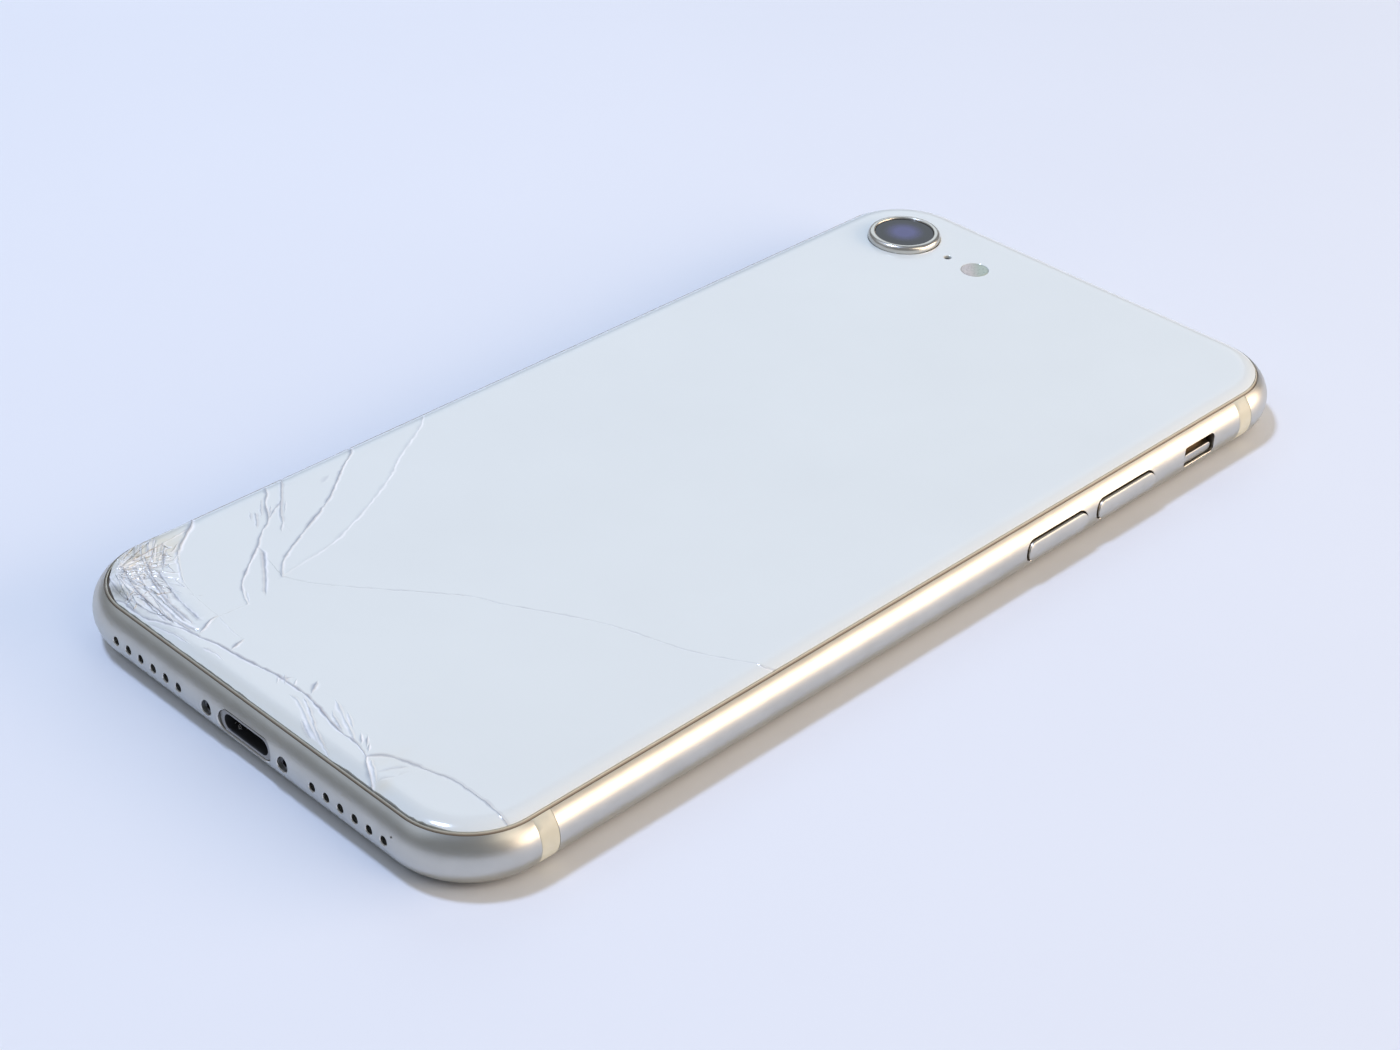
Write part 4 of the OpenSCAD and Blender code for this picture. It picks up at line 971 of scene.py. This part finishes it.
# Each large piece: its CAD node, a point in it, its lean about X and about Y in degrees, and how far it
# stands proud
PANES = {"pane_main": ("rear_glass", (0, 10), 0, 0, 0),
         "pane_lower": ("glass_shard_lower", (5, -52), 0.005, 0.005, -0.004),
         "shard_1": ("glass_shard_1", (-26.5, -31.5), 0.0, 0.05, 0.0),
         "shard_2": ("glass_shard_2", (-28, -37), 0.05, -0.06, 0.004),
         "shard_3": ("glass_shard_3", (-25, -45.4), -0.04, 0.06, 0.0),
         "shard_4": ("glass_shard_4", (-26, -51), 0.03, 0.05, -0.004),
         "shard_bottom": ("glass_shard_bottom", (0, -65.2), 0.25, 0.0, -0.008),
         "shard_right": ("glass_shard_right", (24, -63.5), -0.08, -0.06, -0.006)}


def split_pieces(tris, owners, cracks):
    """Labels triangles by the piece that they belong to; cracks that part the glass are the walls between."""
    per_crack = 1 + len(side_lines(cracks[0]))
    walls = {edge for edge, owner in owners.items()
             if any(o >= 0 and o % per_crack == 0 and cracks[o // per_crack]["parts"] for o in owner)}
    by_edge = {}
    for k, tri in enumerate(tris):
        for a, b in ((0, 1), (1, 2), (2, 0)):
            by_edge.setdefault(tuple(sorted((tri[a], tri[b]))), []).append(k)
    neighbours = [[] for _ in tris]
    for edge, pair in by_edge.items():
        if len(pair) == 2 and edge not in walls:
            neighbours[pair[0]].append(pair[1])
            neighbours[pair[1]].append(pair[0])
    label = np.full(len(tris), -1)
    count = 0
    for k in range(len(tris)):
        if label[k] >= 0:
            continue
        label[k] = count
        stack = [k]
        while stack:
            for n in neighbours[stack.pop()]:
                if label[n] < 0:
                    label[n] = count
                    stack.append(n)
        count += 1
    return label, count


def solid_piece(verts, tris, heights, floor, gap):
    """A glass piece with a top, walls and an underside, drawn back by a gap all round."""
    used = np.unique(tris)
    index = {old: new for new, old in enumerate(used)}
    tris = np.array([[index[i] for i in tri] for tri in tris])
    xy = verts[used].copy()
    edges = {}
    for tri in tris:
        for a, b in ((0, 1), (1, 2), (2, 0)):
            key = (tri[a], tri[b])
            if (key[1], key[0]) in edges:
                del edges[(key[1], key[0])]
            else:
                edges[key] = True
    push = np.zeros_like(xy)
    for a, b in edges:
        along = xy[b] - xy[a]
        length = np.linalg.norm(along)
        if length > 1e-9:
            inward = np.array([-along[1], along[0]]) / length
            push[a] += inward
            push[b] += inward
    size = np.linalg.norm(push, axis=1)
    moved = size > 1e-6
    xy[moved] += push[moved] / size[moved][:, None] * gap
    n = len(used)
    top = np.column_stack([xy, heights[used]])
    low = np.column_stack([xy, np.full(n, floor)])
    faces = [tuple(t) for t in tris] + [tuple(t[::-1] + n) for t in tris]
    faces += [(b, a, a + n, b + n) for a, b in edges]
    return np.vstack([top, low]), faces, used


def glass_holes():
    """The camera, flash and microphone holes, each as its edge and a loop a little outside that."""
    camera, flash = middle_of("camera_ring")[:2], middle_of("flash_lens")[:2]
    rounds = ((camera, radius_of("camera_ring") + 0.03), (flash, radius_of("flash_lens") + 0.03),
              (camera + (MIC_FROM_CAMERA, 0), 0.5))
    return [circle(radius, centre, grow, steps=12) for centre, radius in rounds for grow in (0.0, 0.08)]


def group_pieces(label, count, middles):
    """Triangles of each large piece and each splinter; crumbs outside the corner join the nearest piece."""
    owner = {}
    for name, (_, seed, *_) in PANES.items():
        owner[label[np.argmin(np.linalg.norm(middles - seed, axis=1))]] = name
    zone = inside(middles, CORNER_ZONE)
    groups = {name: [] for name in PANES}
    splinters = []
    for k in range(count):
        mine = np.where(label == k)[0]
        if k in owner:
            groups[owner[k]].append(mine)
        elif zone[mine].mean() > 0.5:
            splinters.append(mine)
        else:
            order = np.argsort(np.linalg.norm(middles - middles[mine].mean(axis=0), axis=1))
            groups[owner[next(label[n] for n in order if label[n] in owner)]].append(mine)
    return groups, splinters


def rear_glass():
    """The broken rear glass: its large pieces, and the crushed corner as one piece of many splinters."""
    cracks = crack_lines()
    lines = []
    for crack in cracks:
        lines.extend([crack["line"], *side_lines(crack)])
    outline = chipped_outline()
    holes = glass_holes()
    verts, tris, owners = triangulate([outline, *holes], pane_points(), lines)
    middles = verts[tris].mean(axis=1)
    keep = in_face(middles, outline, holes[::2])
    tris, middles = tris[keep], middles[keep]
    depth, dark, crack_glints = crack_marks(verts, cracks)
    heights = dome_height(verts) - depth
    for hole in holes[::2]:
        heights[on_edge(verts, hole)] -= 0.05
    groups, splinters = group_pieces(*split_pieces(tris, owners, cracks), middles)
    white, cream, dirt = glass_tints(verts)
    # The cracks' painted shade and painted highlights go in with the crushed corner's white, cream and dirt
    tones = {"crack": dark, "white": np.maximum(white, crack_glints), "cream": cream, "grime_and_shade": dirt}
    for name, (node, _, lean_x, lean_y, proud) in PANES.items():
        chosen = tris[np.concatenate(groups[name])]
        away = verts - verts[np.unique(chosen)].mean(axis=0)
        tilt = (away[:, 1] * math.tan(math.radians(lean_x))
                + away[:, 0] * math.tan(math.radians(lean_y)) + proud)
        points, faces, used = solid_piece(verts, chosen, heights + tilt, GLASS_Z, 0.003)
        glass_object(name, node, points, faces, {key: np.tile(tone[used], 2) for key, tone in tones.items()})
    crushed_corner(verts, tris, heights, splinters, tones)


def glass_tints(verts):
    """How white, cream and dirty the glass is: the crushed corner, the curved crack at the right, the rim."""
    x, y = (verts - (LEFT, LOW)).T
    grain = np.array([RNG.random() for _ in verts])
    zone = inside(verts, CORNER_ZONE)
    fan = fade(1.3, np.abs(x - 2.2) / 3.4) * fade(1.4, np.abs(y - 8.2) / 4.6)
    streak = 0.5 + 0.5 * np.sin((0.63 * x + 0.78 * y) * 9 + 2 * np.sin(3 * x))
    heart = fade(1.2, np.hypot(x - 4.6, y - 3.0) / 3.4)
    tail = fade(1.1, np.hypot((x - 10.5) / 2, y - 2.8) / 3.2)
    cream = np.where(zone, fan * (0.6 + 0.35 * streak + 0.25 * grain) + 0.3 * fade(2, (x + y) / 8), 0)
    white = np.where(zone, heart * grain + 0.55 * tail * grain, 0)
    dirt = np.where(zone, fade(1, np.hypot((x - 6.3) / 2.4, y - 1.2)) * (0.5 + 0.5 * grain)
                    + 0.5 * fade(1, np.hypot(x - 2.2, y - 6.4) / 0.9), 0)
    d, t = nearest(verts, curve_through(CRACK_J, step=1.0, wobble=0))
    under = fade(1.2, d / 2.0) * fade(1, t / 0.5) * (y < 6.6) * (x > 46.6)
    for more in (under * (0.25 + 0.15 * np.sin(d * 9)), 0.6 * fade(1.2, np.hypot(x - 50.9, y - 0.8) / 1.2),
                 0.3 * fade(1, np.abs(y - 0.5) / 0.9) * fade(2, np.abs(x - 33) / 8)):
        cream = np.maximum(cream, more)
    return np.clip(white, 0, 1), np.clip(cream, 0, 1), np.clip(dirt, 0, 1)


def glass_object(name, node, points, faces, tones):
    obj = mesh_object(name, points, faces, [GLASS], sharp=12)
    for attribute, values in tones.items():
        paint(obj, attribute, values)
    return place(obj, "housing", "milky_glass", node)


def crushed_corner(verts, tris, heights, splinters, tones):
    """The corner's splinters, each leaning its own way, some sunk and some standing proud; small ones get a
    random painted highlight or painted shade.
    """
    all_points, all_faces, painted = [], [], {name: [] for name in tones}
    start = 0
    calm = np.clip(nearest(verts, np.array([*CRACK_F[4:], KNEE, LOW_LEFT]))[0] / 1.5, 0, 1)
    for mine in splinters:
        chosen = tris[mine]
        middle = verts[np.unique(chosen)].mean(axis=0)
        wild = np.clip(1.25 - np.linalg.norm(middle - IMPACT) / 13, 0.15, 1)
        lean = [math.tan(math.radians(RNG.gauss(0, 3.2))) * wild for _ in range(2)]
        tilt = np.clip((verts - middle) @ np.array(lean), -0.07, 0.07)
        tilt = (tilt + RNG.uniform(-0.06, 0.02) * wild) * calm
        tops = np.maximum(heights + tilt, GLASS_Z + 0.1)
        points, faces, used = solid_piece(verts, chosen, tops, GLASS_Z, 0.008)
        all_points.append(points)
        all_faces.extend(tuple(int(i) + start for i in f) for f in faces)
        start += len(points)
        tone = {}
        # Small splinters: a random painted highlight or painted shade, and some cream, so that their facets
        # differ in light
        if len(mine) < 60:
            tone = {"white": RNG.choice((0, 0.3, 0.6, 1.0)) * wild,
                    "crack": RNG.choice((0, 0, 0, 0.15)) * wild, "cream": RNG.choice((0, 0.2, 0.4)) * wild}
        for name, values in tones.items():
            painted[name].append(np.tile(np.clip(values[used] + tone.get(name, 0), 0, 1), 2))
    painted = {name: np.concatenate(values) for name, values in painted.items()}
    glass_object("crushed_corner", "glass_shard_corner", np.vstack(all_points), all_faces, painted)


LIP_GAP = 0.05
LIP_OUTER, LIP_INNER = SEAT_INSET + LIP_GAP, GLASS_INSET - LIP_GAP


def side_rise(inset):
    """Half the body's thickness at an inset from its outline."""
    return math.sqrt(EDGE_R ** 2 - (EDGE_R - inset) ** 2)


def rear_lip():
    """Thin ring between the rear glass and the band, a little lower than both, darker where it goes down into
    the seam.
    """
    outer, inner = EDGE_R + side_rise(LIP_OUTER), EDGE_R + side_rise(LIP_INNER)
    profile = [(LIP_OUTER, SEAT_Z), (LIP_OUTER, outer - 0.12), (LIP_OUTER + 0.05, outer - 0.05),
               (LIP_INNER - 0.05, inner - 0.05), (LIP_INNER, inner - 0.10), (LIP_INNER, inner - 0.14),
               (LIP_INNER, SEAT_Z)]
    obj = ring_solid("rear_lip", profile, [GASKET])
    # Darker on the faces that go down into the seam
    paint(obj, "grime_and_shade", vertex_array(obj)[:, 2] < inner - 0.13)
    return place(obj, "housing", "gasket", "rear_gasket")


def front_lip():
    outer, inner = EDGE_R - side_rise(LIP_OUTER) + 0.08, EDGE_R - side_rise(LIP_INNER) + 0.08
    profile = [(LIP_OUTER, FRONT_T), (LIP_OUTER, outer), (LIP_INNER, inner), (LIP_INNER, FRONT_T)]
    return place(ring_solid("front_lip", profile, [BLACK]), "housing", "gasket", "front_gasket")


# ---------------------------------------------------------------- camera, flash and microphone
def camera_trim():
    """Polished ring: a rolled outer edge and a narrow rim round the window."""
    lo, hi = corners("camera_ring")
    r, top = radius_of("camera_ring"), hi[2]
    ledge = corners("camera_window")[0][2]
    hole = radius_of("camera_window") + 0.03
    seat = hole - 0.5
    profile = [(seat, lo[2]), (r - 0.1, lo[2]), (r - 0.04, THICK - 0.1), (r, THICK), (r, top - 0.55),
               (r - 0.02, top - 0.42), (r - 0.08, top - 0.27), (r - 0.19, top - 0.14),
               (r - 0.34, top - 0.045), (r - 0.50, top), (hole + 0.13, top), (hole + 0.05, top - 0.03),
               (hole, top - 0.10), (hole, ledge), (seat, ledge)]
    shell = Shell()
    shell.lathe(profile, middle_of("camera_ring"), steps=144)
    return place(shell.build("camera_trim", [POLISHED], sharp=50), "housing", "polished_metal", "camera_ring")


def camera_cover():
    """Lens window: black at its rim, with a violet coating that fades in towards the middle."""
    centre = middle_of("camera_window")
    lo, hi = corners("camera_window")
    r, bevel = radius_of("camera_window"), 0.06
    face = [(0.3 * i, hi[2]) for i in range(12, -1, -1)]
    shell = Shell()
    shell.lathe([(0.0, lo[2]), (r, lo[2]), (r, hi[2] - bevel), (r - bevel, hi[2]), *face], centre, steps=96)
    obj = shell.build("camera_cover", [MASK], sharp=40)
    out = np.hypot(*(vertex_array(obj)[:, :2] - centre[:2] - (-0.1, 0.1)).T)
    paint(obj, "coating", np.clip((2.9 - out) / 1.7, 0, 1) ** 1.3)
    return place(obj, "housing", "lens_glass", "camera_window")


def lens_stack():
    """Lens barrel with stepped baffles and a coated front lens."""
    lo, hi = corners("camera_lens")
    top = hi[2]
    rings = [(0.0, lo[2]), (3.2, lo[2]), (3.2, top - 0.1), (3.1, top), (2.75, top), (2.6, top - 0.14),
             (2.4, top - 0.14), (2.3, top - 0.26), (2.1, top - 0.26), (2.0, top - 0.36)]
    dome_r, rise, steps, foot = 1.95, 0.42, 8, top - 0.40
    dome = [(dome_r * math.cos(t), foot + rise * math.sin(t))
            for t in (math.pi / 2 * i / steps for i in range(steps))] + [(0.0, foot + rise)]
    shell = Shell()
    shell.lathe(rings + dome, middle_of("camera_lens"), steps=96, kinds=[0] * len(rings) + [1] * len(dome))
    obj = shell.build("lens_stack", [MASK, LENS], sharp=30)
    return place(obj, "lens_barrel", "lens_glass", "camera_lens")


def flash_cover():
    """Flash window with fine rings under a smooth face."""
    centre = middle_of("flash_lens")
    lo, hi = corners("flash_lens")
    r = radius_of("flash_lens")
    face = [(r, lo[2]), (r, hi[2] - 0.05), (r - 0.05, hi[2])]
    steps, groove = 26, 0.035
    for i in range(1, steps):
        face.append(((r - 0.1) * (1 - i / steps), hi[2] - (groove if i % 2 else 0.0)))
    shell = Shell()
    shell.lathe([(0.0, lo[2]), *face, (0.0, hi[2] - 0.01)], centre, steps=72)
    obj = shell.build("flash_cover", [FLASH], sharp=60)
    paint(obj, "green", np.clip(0.5 + (vertex_array(obj)[:, :2] - centre[:2]) @ (0.5, 0.5), 0, 1))
    return place(obj, "housing", "flash_plastic", "flash_lens")


def rear_mic_mesh():
    """Mesh just inside the rear microphone hole."""
    centre = middle_of("camera_ring") + (MIC_FROM_CAMERA, 0, 0)
    shell = Shell()
    shell.lathe([(0.0, GLASS_Z), (0.48, GLASS_Z), (0.48, GLASS_Z + 0.38), (0.44, GLASS_Z + 0.42),
                 (0.0, GLASS_Z + 0.40)], centre, steps=32)
    return place(shell.build("rear_mic_mesh", [MESH]), "housing", "mesh_metal")


# ---------------------------------------------------------------- side controls
def cap(shell, side, u, z, length, height, radius, back, front, soft=0.08):
    """A cap with rolled edges whose face follows the round side; insets count from the outline."""
    rings = [(0, None), (0, 0.3), (0, soft)]
    rings += [(-soft * (1 - math.cos(t)), soft * (1 - math.sin(t))) for t in map(math.radians, (30, 60, 90))]
    rows = [[side_point(side, y, back if sink is None else front + sink + surface_inset(h), h)
             for y, h in rounded_loop(length, height, radius, grow, at=(u, z))] for grow, sink in rings]
    shell.grid(rows, close_columns=True)
    shell.add(rows[0], [tuple(range(len(rows[0])))])
    border = closed_loop(length, height, radius, (u, z), -soft)
    grid = np.array([(x, y) for x in np.arange(u - length / 2 + 0.4, u + length / 2, 0.6)
                     for y in np.arange(z - height / 2 + 0.3, z + height / 2, 0.3)])
    grid = grid[inside(grid, rounded_loop(length, height, radius, -soft - 0.12, at=(u, z)))]
    flat, faces = fill(border, [], [tuple(p) for p in grid])
    shell.add([side_point(side, y, front + surface_inset(h), h) for y, h in flat], faces)


def sunk(at):
    """How deep points lie under the round long sides."""
    return HALF_W - np.abs(at[:, 0]) - EDGE_R + np.sqrt(np.maximum(EDGE_R ** 2 - (at[:, 2] - EDGE_R) ** 2, 0))


def rod(shell, side, u, z, radius, deep, shallow, steps=20):
    loops = [[side_point(side, u + radius * math.cos(2 * math.pi * i / steps), inset,
                         z + radius * math.sin(2 * math.pi * i / steps)) for i in range(steps)]
             for inset in (deep, shallow)]
    shell.grid(loops, close_columns=True)
    for loop in loops:
        shell.add(loop, [tuple(range(steps))])


def key_side_shade(at, proud):
    """Painted shade on a key's sides, from just under its face down."""
    return np.clip((sunk(at) + proud - 0.06) / 0.25, 0, 1)


def push_key(name, node, side, body):
    """A button with rolled edges, its two pins and their flanges."""
    lo, hi = corners(node)
    length, height, proud, back = hi[1] - lo[1], hi[2] - lo[2], max(hi[0], -lo[0]) - HALF_W, 1.05
    u = (lo[1] + hi[1]) / 2
    shell = Shell()
    cap(shell, side, u, FEATURE_Z, length, height, height / 2, back, -proud)
    for pin in KEY_PINS:
        rod(shell, side, u + pin, FEATURE_Z, 0.45, WALL_INSET + 0.3, back)
        rod(shell, side, u + pin, FEATURE_Z, 0.8, WALL_INSET + 0.3, WALL_INSET + 0.02)
    obj = shell.build(name, [METAL], sharp=50, weld=0.0005)
    # Painted shade on the key's sides
    paint(obj, "grime_and_shade", key_side_shade(vertex_array(obj), proud))
    return place(obj, body, "band_metal", node)


def mute_lever():
    lo, hi = corners("mute_switch")
    u, z, back = (lo[1] + hi[1]) / 2, (lo[2] + hi[2]) / 2, 1.3
    shell = Shell()
    cap(shell, "right", u, z, hi[1] - lo[1], hi[2] - lo[2], 0.5, back, HALF_W - hi[0], soft=0.1)
    rod(shell, "right", u, z, 0.45, HALF_W - lo[0], back)
    obj = shell.build("mute_lever", [METAL], sharp=50)
    # Painted shade on the lever's sides
    paint(obj, "grime_and_shade", key_side_shade(vertex_array(obj), hi[0] - HALF_W))
    return place(obj, "mute_slider", "band_metal", "mute_switch")


def tray():
    """SIM tray: face rolled to the band's curve with its eject hole, and a plate with the card's pocket."""
    lo, hi = corners("sim_tray")
    u, z0 = (lo[1] + hi[1]) / 2, FEATURE_Z
    length, height = hi[1] - lo[1], hi[2] - lo[2]
    size = (length, height, height / 2)
    eject, eject_r = (u + length / 2 - height / 2 - 0.1, z0), 0.5
    back, edge = TRAY_FLOOR, 0.05
    hole = circle(eject_r, eject, steps=6)
    face = closed_loop(*size, (u, z0), -edge)
    rim = closed_loop(*size, (u, z0))
    inner = np.array([(x, z) for x in np.arange(u - length / 2 + 0.4, u + length / 2, 0.8)
                      for z in np.arange(z0 - height / 2 + 0.2, z0 + height / 2, 0.3)])
    inner = inner[in_face(inner, closed_loop(*size, (u, z0), -0.15), [circle(eject_r, eject, 0.1)])]
    shell = Shell()
    flat, faces = fill(face, [hole], [tuple(p) for p in inner])
    shell.add([side_point("left", y, surface_inset(z), z) for y, z in flat], faces)
    rows = [[side_point("left", y, surface_inset(z) + sink, z) for y, z in loop]
            for loop, sink in ((face, 0), (rim, edge), (hole, 0))]
    for outer, loop in ((rows[:2], rim), (rows[2:], hole)):
        shell.grid([*outer, [side_point("left", y, back, z) for y, z in loop]], close_columns=True)
    flat, faces = fill(rim, [hole])
    shell.add([side_point("left", y, back, z) for y, z in flat], faces)
    tray_box(shell, u - 0.9, length - 3, 1.0, back, hi[0] + HALF_W)
    return place(shell.build("tray_piece", [METAL], sharp=30, weld=0.0005), "tray", "band_metal", "sim_tray")


def tray_box(shell, u, length, thick, near, far):
    """The tray's plate: a closed slab with the card's pocket sunk from above."""
    pocket_end, pocket_length, pocket_half = far - 1.6, 11.3, 4.4
    pocket = (pocket_end - pocket_length, pocket_end, u - pocket_half, u + pocket_half)
    z0, z1, floor = FEATURE_Z - thick / 2, FEATURE_Z + thick / 2, FEATURE_Z - 0.3
    outer = [(near, u - length / 2), (far, u - length / 2), (far, u + length / 2), (near, u + length / 2)]
    inner = [(pocket[0], pocket[2]), (pocket[1], pocket[2]), (pocket[1], pocket[3]), (pocket[0], pocket[3])]

    def level(loop, z):
        return [side_point("left", b, a, z) for a, b in loop]

    flat, faces = fill(outer, [inner])
    shell.add([side_point("left", b, a, z1) for a, b in flat], faces)
    shell.add(level(outer, z0), [(0, 1, 2, 3)])
    shell.add(level(inner, floor), [(0, 1, 2, 3)])
    shell.grid([level(outer, z0), level(outer, z1)], close_columns=True)
    shell.grid([level(inner, floor), level(inner, z1)], close_columns=True)


# ---------------------------------------------------------------- port end
def port_liner():
    """Lip and socket of the charge port, with a closed back."""
    lo, hi = corners("charge_port")
    w, h = hi[0] - lo[0], hi[2] - lo[2]
    front = lo[1] + HALF_L
    back = hi[1] + HALF_L
    mouth_w, mouth_h = w - 1.6, h - 0.7
    loops = []
    for width, height, grow, inset in (
            (w, h, 0, back), (w, h, 0, front + 0.12), (w, h, -0.04, front + 0.03), (w, h, -0.12, front),
            (mouth_w, mouth_h, 0.14, front), (mouth_w, mouth_h, 0.04, front + 0.05),
            (mouth_w, mouth_h, 0, front + 0.16), (mouth_w, mouth_h, 0, front + 7.0)):
        loops.append([side_point("bottom", a, inset, z) for a, z in
                      rounded_loop(width, height, height / 2, grow, steps=10, at=(0, FEATURE_Z))])
    shell = Shell()
    shell.grid(loops[:6], close_columns=True)
    shell.grid(loops[5:], close_columns=True, kind=1)
    shell.add(loops[0], [tuple(range(len(loops[0])))])
    shell.add(loops[-1], [tuple(range(len(loops[-1])))], kind=1)
    return place(shell.build("port_liner", [LINER, BLACK], sharp=40, weld=0.0005), "housing", "dark_plastic",
                 "charge_port")


def port_lint():
    """A little pocket lint caught inside the mouth of the port."""
    shell = Shell()
    for _ in range(16):
        at = np.array([RNG.uniform(-3.1, -1.0), -HALF_L + RNG.uniform(0.75, 2.0),
                       FEATURE_Z - RNG.uniform(0.45, 0.88)])
        turn = RNG.uniform(0, math.tau)
        length, radius = RNG.uniform(0.3, 0.8), RNG.uniform(0.02, 0.045)
        rows = []
        for i in range(7):
            t = i / 6
            p = at + np.array([math.cos(turn + t) * length * t, abs(math.sin(turn)) * length * t * 0.6,
                               0.12 * math.sin(t * 3)])
            r = radius * math.sin(math.pi * (0.1 + 0.8 * t))
            rows.append([(p[0], p[1] + r * math.cos(k * math.tau / 6), p[2] + r * math.sin(k * math.tau / 6))
                         for k in range(6)])
        shell.grid(rows, close_columns=True)
        for row in (rows[0], rows[-1]):
            shell.add(row, [tuple(range(6))])
    return place(shell.build("port_lint", [LINT], weld=0.0002), "housing", "tape")


# ---------------------------------------------------------------- front of the phone
HOME_HOLE_R, HOME_KEY_R = 5.47, 4.7
EAR_W, EAR_H = 11, 1.3


def front_cover():
    """Black cover glass with a rolled rim, holes for the home button and earpiece, and the dark panel."""
    outline = ring_loop(GLASS_INSET, step=1.2)
    holes = [circle(HOME_HOLE_R, middle_of("home_button"), grow, steps=16) for grow in (0.0, 0.1)]
    holes += [closed_loop(EAR_W, EAR_H, EAR_H / 2, middle_of("earpiece_mesh"), grow) for grow in (0.0, 0.1)]
    lo, hi = corners("lcd_panel")
    panel = [(lo[0], lo[1]), (hi[0], lo[1]), (hi[0], hi[1]), (lo[0], hi[1])]
    within_panel = [(x * 0.997, y * 0.998) for x, y in panel]
    points = []
    for inset in (*(GLASS_INSET + step for step in (0.12, 0.35, 0.7, 1.2)), EDGE_R):
        points.extend(ring_loop(inset, step=1.2))
    verts, tris, _ = triangulate([outline, *holes, panel, within_panel], points)
    tris = tris[in_face(verts[tris].mean(axis=1), outline, holes[::2])]
    heights = THICK - dome_height(verts)
    for hole in holes[::2]:
        heights[on_edge(verts, hole)] += 0.05
    points, faces, used = solid_piece(verts, tris, heights, FRONT_T, 0.0)
    obj = mesh_object("front_cover", points, [f[::-1] for f in faces], [BLACK_GLASS], sharp=25)
    paint(obj, "panel", np.tile(inside(verts[used] * 0.999, panel), 2))
    return place(obj, "housing", "black_glass", "front_glass")


def home_key():
    """Home button: a shallow dished disc in its bevelled ring."""
    centre = middle_of("home_button")
    r, face = HOME_KEY_R, 0.1
    dish = [(r * i / 12, face + 0.10 * (1 - (i / 12) ** 2)) for i in range(12)]
    shell = Shell()
    shell.lathe([*dish, (r - 0.06, face), (r, 0.16), (r, FRONT_T), (0.0, FRONT_T)], centre, steps=96)
    place(shell.build("home_key", [SAPPHIRE], sharp=40), "housing", "sapphire", "home_button")
    ring = Shell()
    ring.lathe([(4.73, FRONT_T), (4.73, 0.14), (4.85, 0.03), (4.95, 0.0), (5.3, 0.0), (5.42, 0.05),
                (5.45, 0.12), (5.45, FRONT_T)], centre, steps=96)
    place(ring.build("home_trim", [POLISHED], sharp=30), "housing", "polished_metal", "home_button_ring")


# ---------------------------------------------------------------- stage, lights and camera
def stage():
    """A pale floor just under the phone."""
    half = 1.6
    mesh = bpy.data.meshes.new("floor")
    mesh.from_pydata([(-half, -half, 0), (half, -half, 0), (half, half, 0), (-half, half, 0)], [],
                     [(0, 1, 2, 3)])
    floor = bpy.data.objects.new("floor", mesh)
    bpy.context.scene.collection.objects.link(floor)
    mesh.materials.append(finish("floor_card", (0.87, 0.89, 0.93), 0.75, vary=0.01, vary_scale=0.01,
                                 bump=0.001, rough_vary=0.03, specular=0.2))
    floor.location.z = -0.02 * MM


def light(name, azimuth, elevation, distance, size, power, colour):
    """A flat lamp that looks at the phone; azimuth 0 is the -Y side, and grows towards +X."""
    lamp = bpy.data.lights.new(name, "AREA")
    lamp.shape = "RECTANGLE"
    lamp.size, lamp.size_y = size
    lamp.energy = power
    lamp.color = colour
    obj = bpy.data.objects.new(name, lamp)
    a, e = math.radians(azimuth), math.radians(elevation)
    way = Vector((math.sin(a) * math.cos(e), -math.cos(a) * math.cos(e), math.sin(e)))
    obj.location = way * distance
    obj.rotation_euler = way.to_track_quat("Z", "Y").to_euler()
    bpy.context.scene.collection.objects.link(obj)


def world():
    made = bpy.data.worlds.new("studio")
    bpy.context.scene.world = made
    made.use_nodes = True
    back = made.node_tree.nodes["Background"]
    back.inputs["Color"].default_value = (0.88, 0.93, 1.0, 1)
    back.inputs["Strength"].default_value = 0.28


CAMERA_AZIMUTH, CAMERA_ELEVATION, CAMERA_ROLL = 43.9, 33.65, 1.9
CAMERA_TARGET = Vector((4.0, -7.57, 3.63)) * MM
CAMERA_DISTANCE, CAMERA_LENS = 302.5 * MM, 67.9


def camera():
    a, e, roll = (math.radians(v) for v in (CAMERA_AZIMUTH, CAMERA_ELEVATION, CAMERA_ROLL))
    back = Vector((math.sin(a) * math.cos(e), -math.cos(a) * math.cos(e), math.sin(e)))
    right = Vector((math.cos(a), math.sin(a), 0))
    up = back.cross(right)
    image_right = right * math.cos(roll) + up * math.sin(roll)
    image_up = up * math.cos(roll) - right * math.sin(roll)
    data = bpy.data.cameras.new("camera")
    data.lens = CAMERA_LENS
    data.sensor_width = 36
    data.clip_start = 0.01
    obj = bpy.data.objects.new("camera", data)
    matrix = Matrix((image_right, image_up, back)).transposed().to_4x4()
    matrix.translation = CAMERA_TARGET + back * CAMERA_DISTANCE
    obj.matrix_world = matrix
    bpy.context.scene.collection.objects.link(obj)
    bpy.context.scene.camera = obj


dress_cad_nodes()
camera()
stage()
world()
light("warm_low", 127, 16, 0.9, (1.0, 0.4), 6.35, (1.0, 0.79, 0.60))
light("cool_high", 300, 72, 0.9, (0.12, 0.12), 4.1, (0.569, 0.696, 1.0))
light("warm_side", 98, 44, 0.9, (0.36, 0.42), 0.95, (1.0, 0.88, 0.70))
light("port_soft", 320, 45, 0.9, (0.9, 0.5), 0.75, (0.78, 0.86, 1.0))
light("back_soft", 224, 32, 0.9, (0.7, 0.5), 1.0, (0.80, 0.90, 1.0))

band_shell()
antenna_inlays()
rear_glass()
rear_lip()
front_lip()
camera_trim()
camera_cover()
lens_stack()
flash_cover()
rear_mic_mesh()
push_key("volume_up_key", "volume_up_button", "right", "volume_up")
push_key("volume_down_key", "volume_down_button", "right", "volume_down")
push_key("side_key_cap", "side_button", "left", "side_key")
mute_lever()
tray()
port_liner()
port_lint()
front_cover()
home_key()

bpy.context.scene.view_settings.view_transform = "Standard"
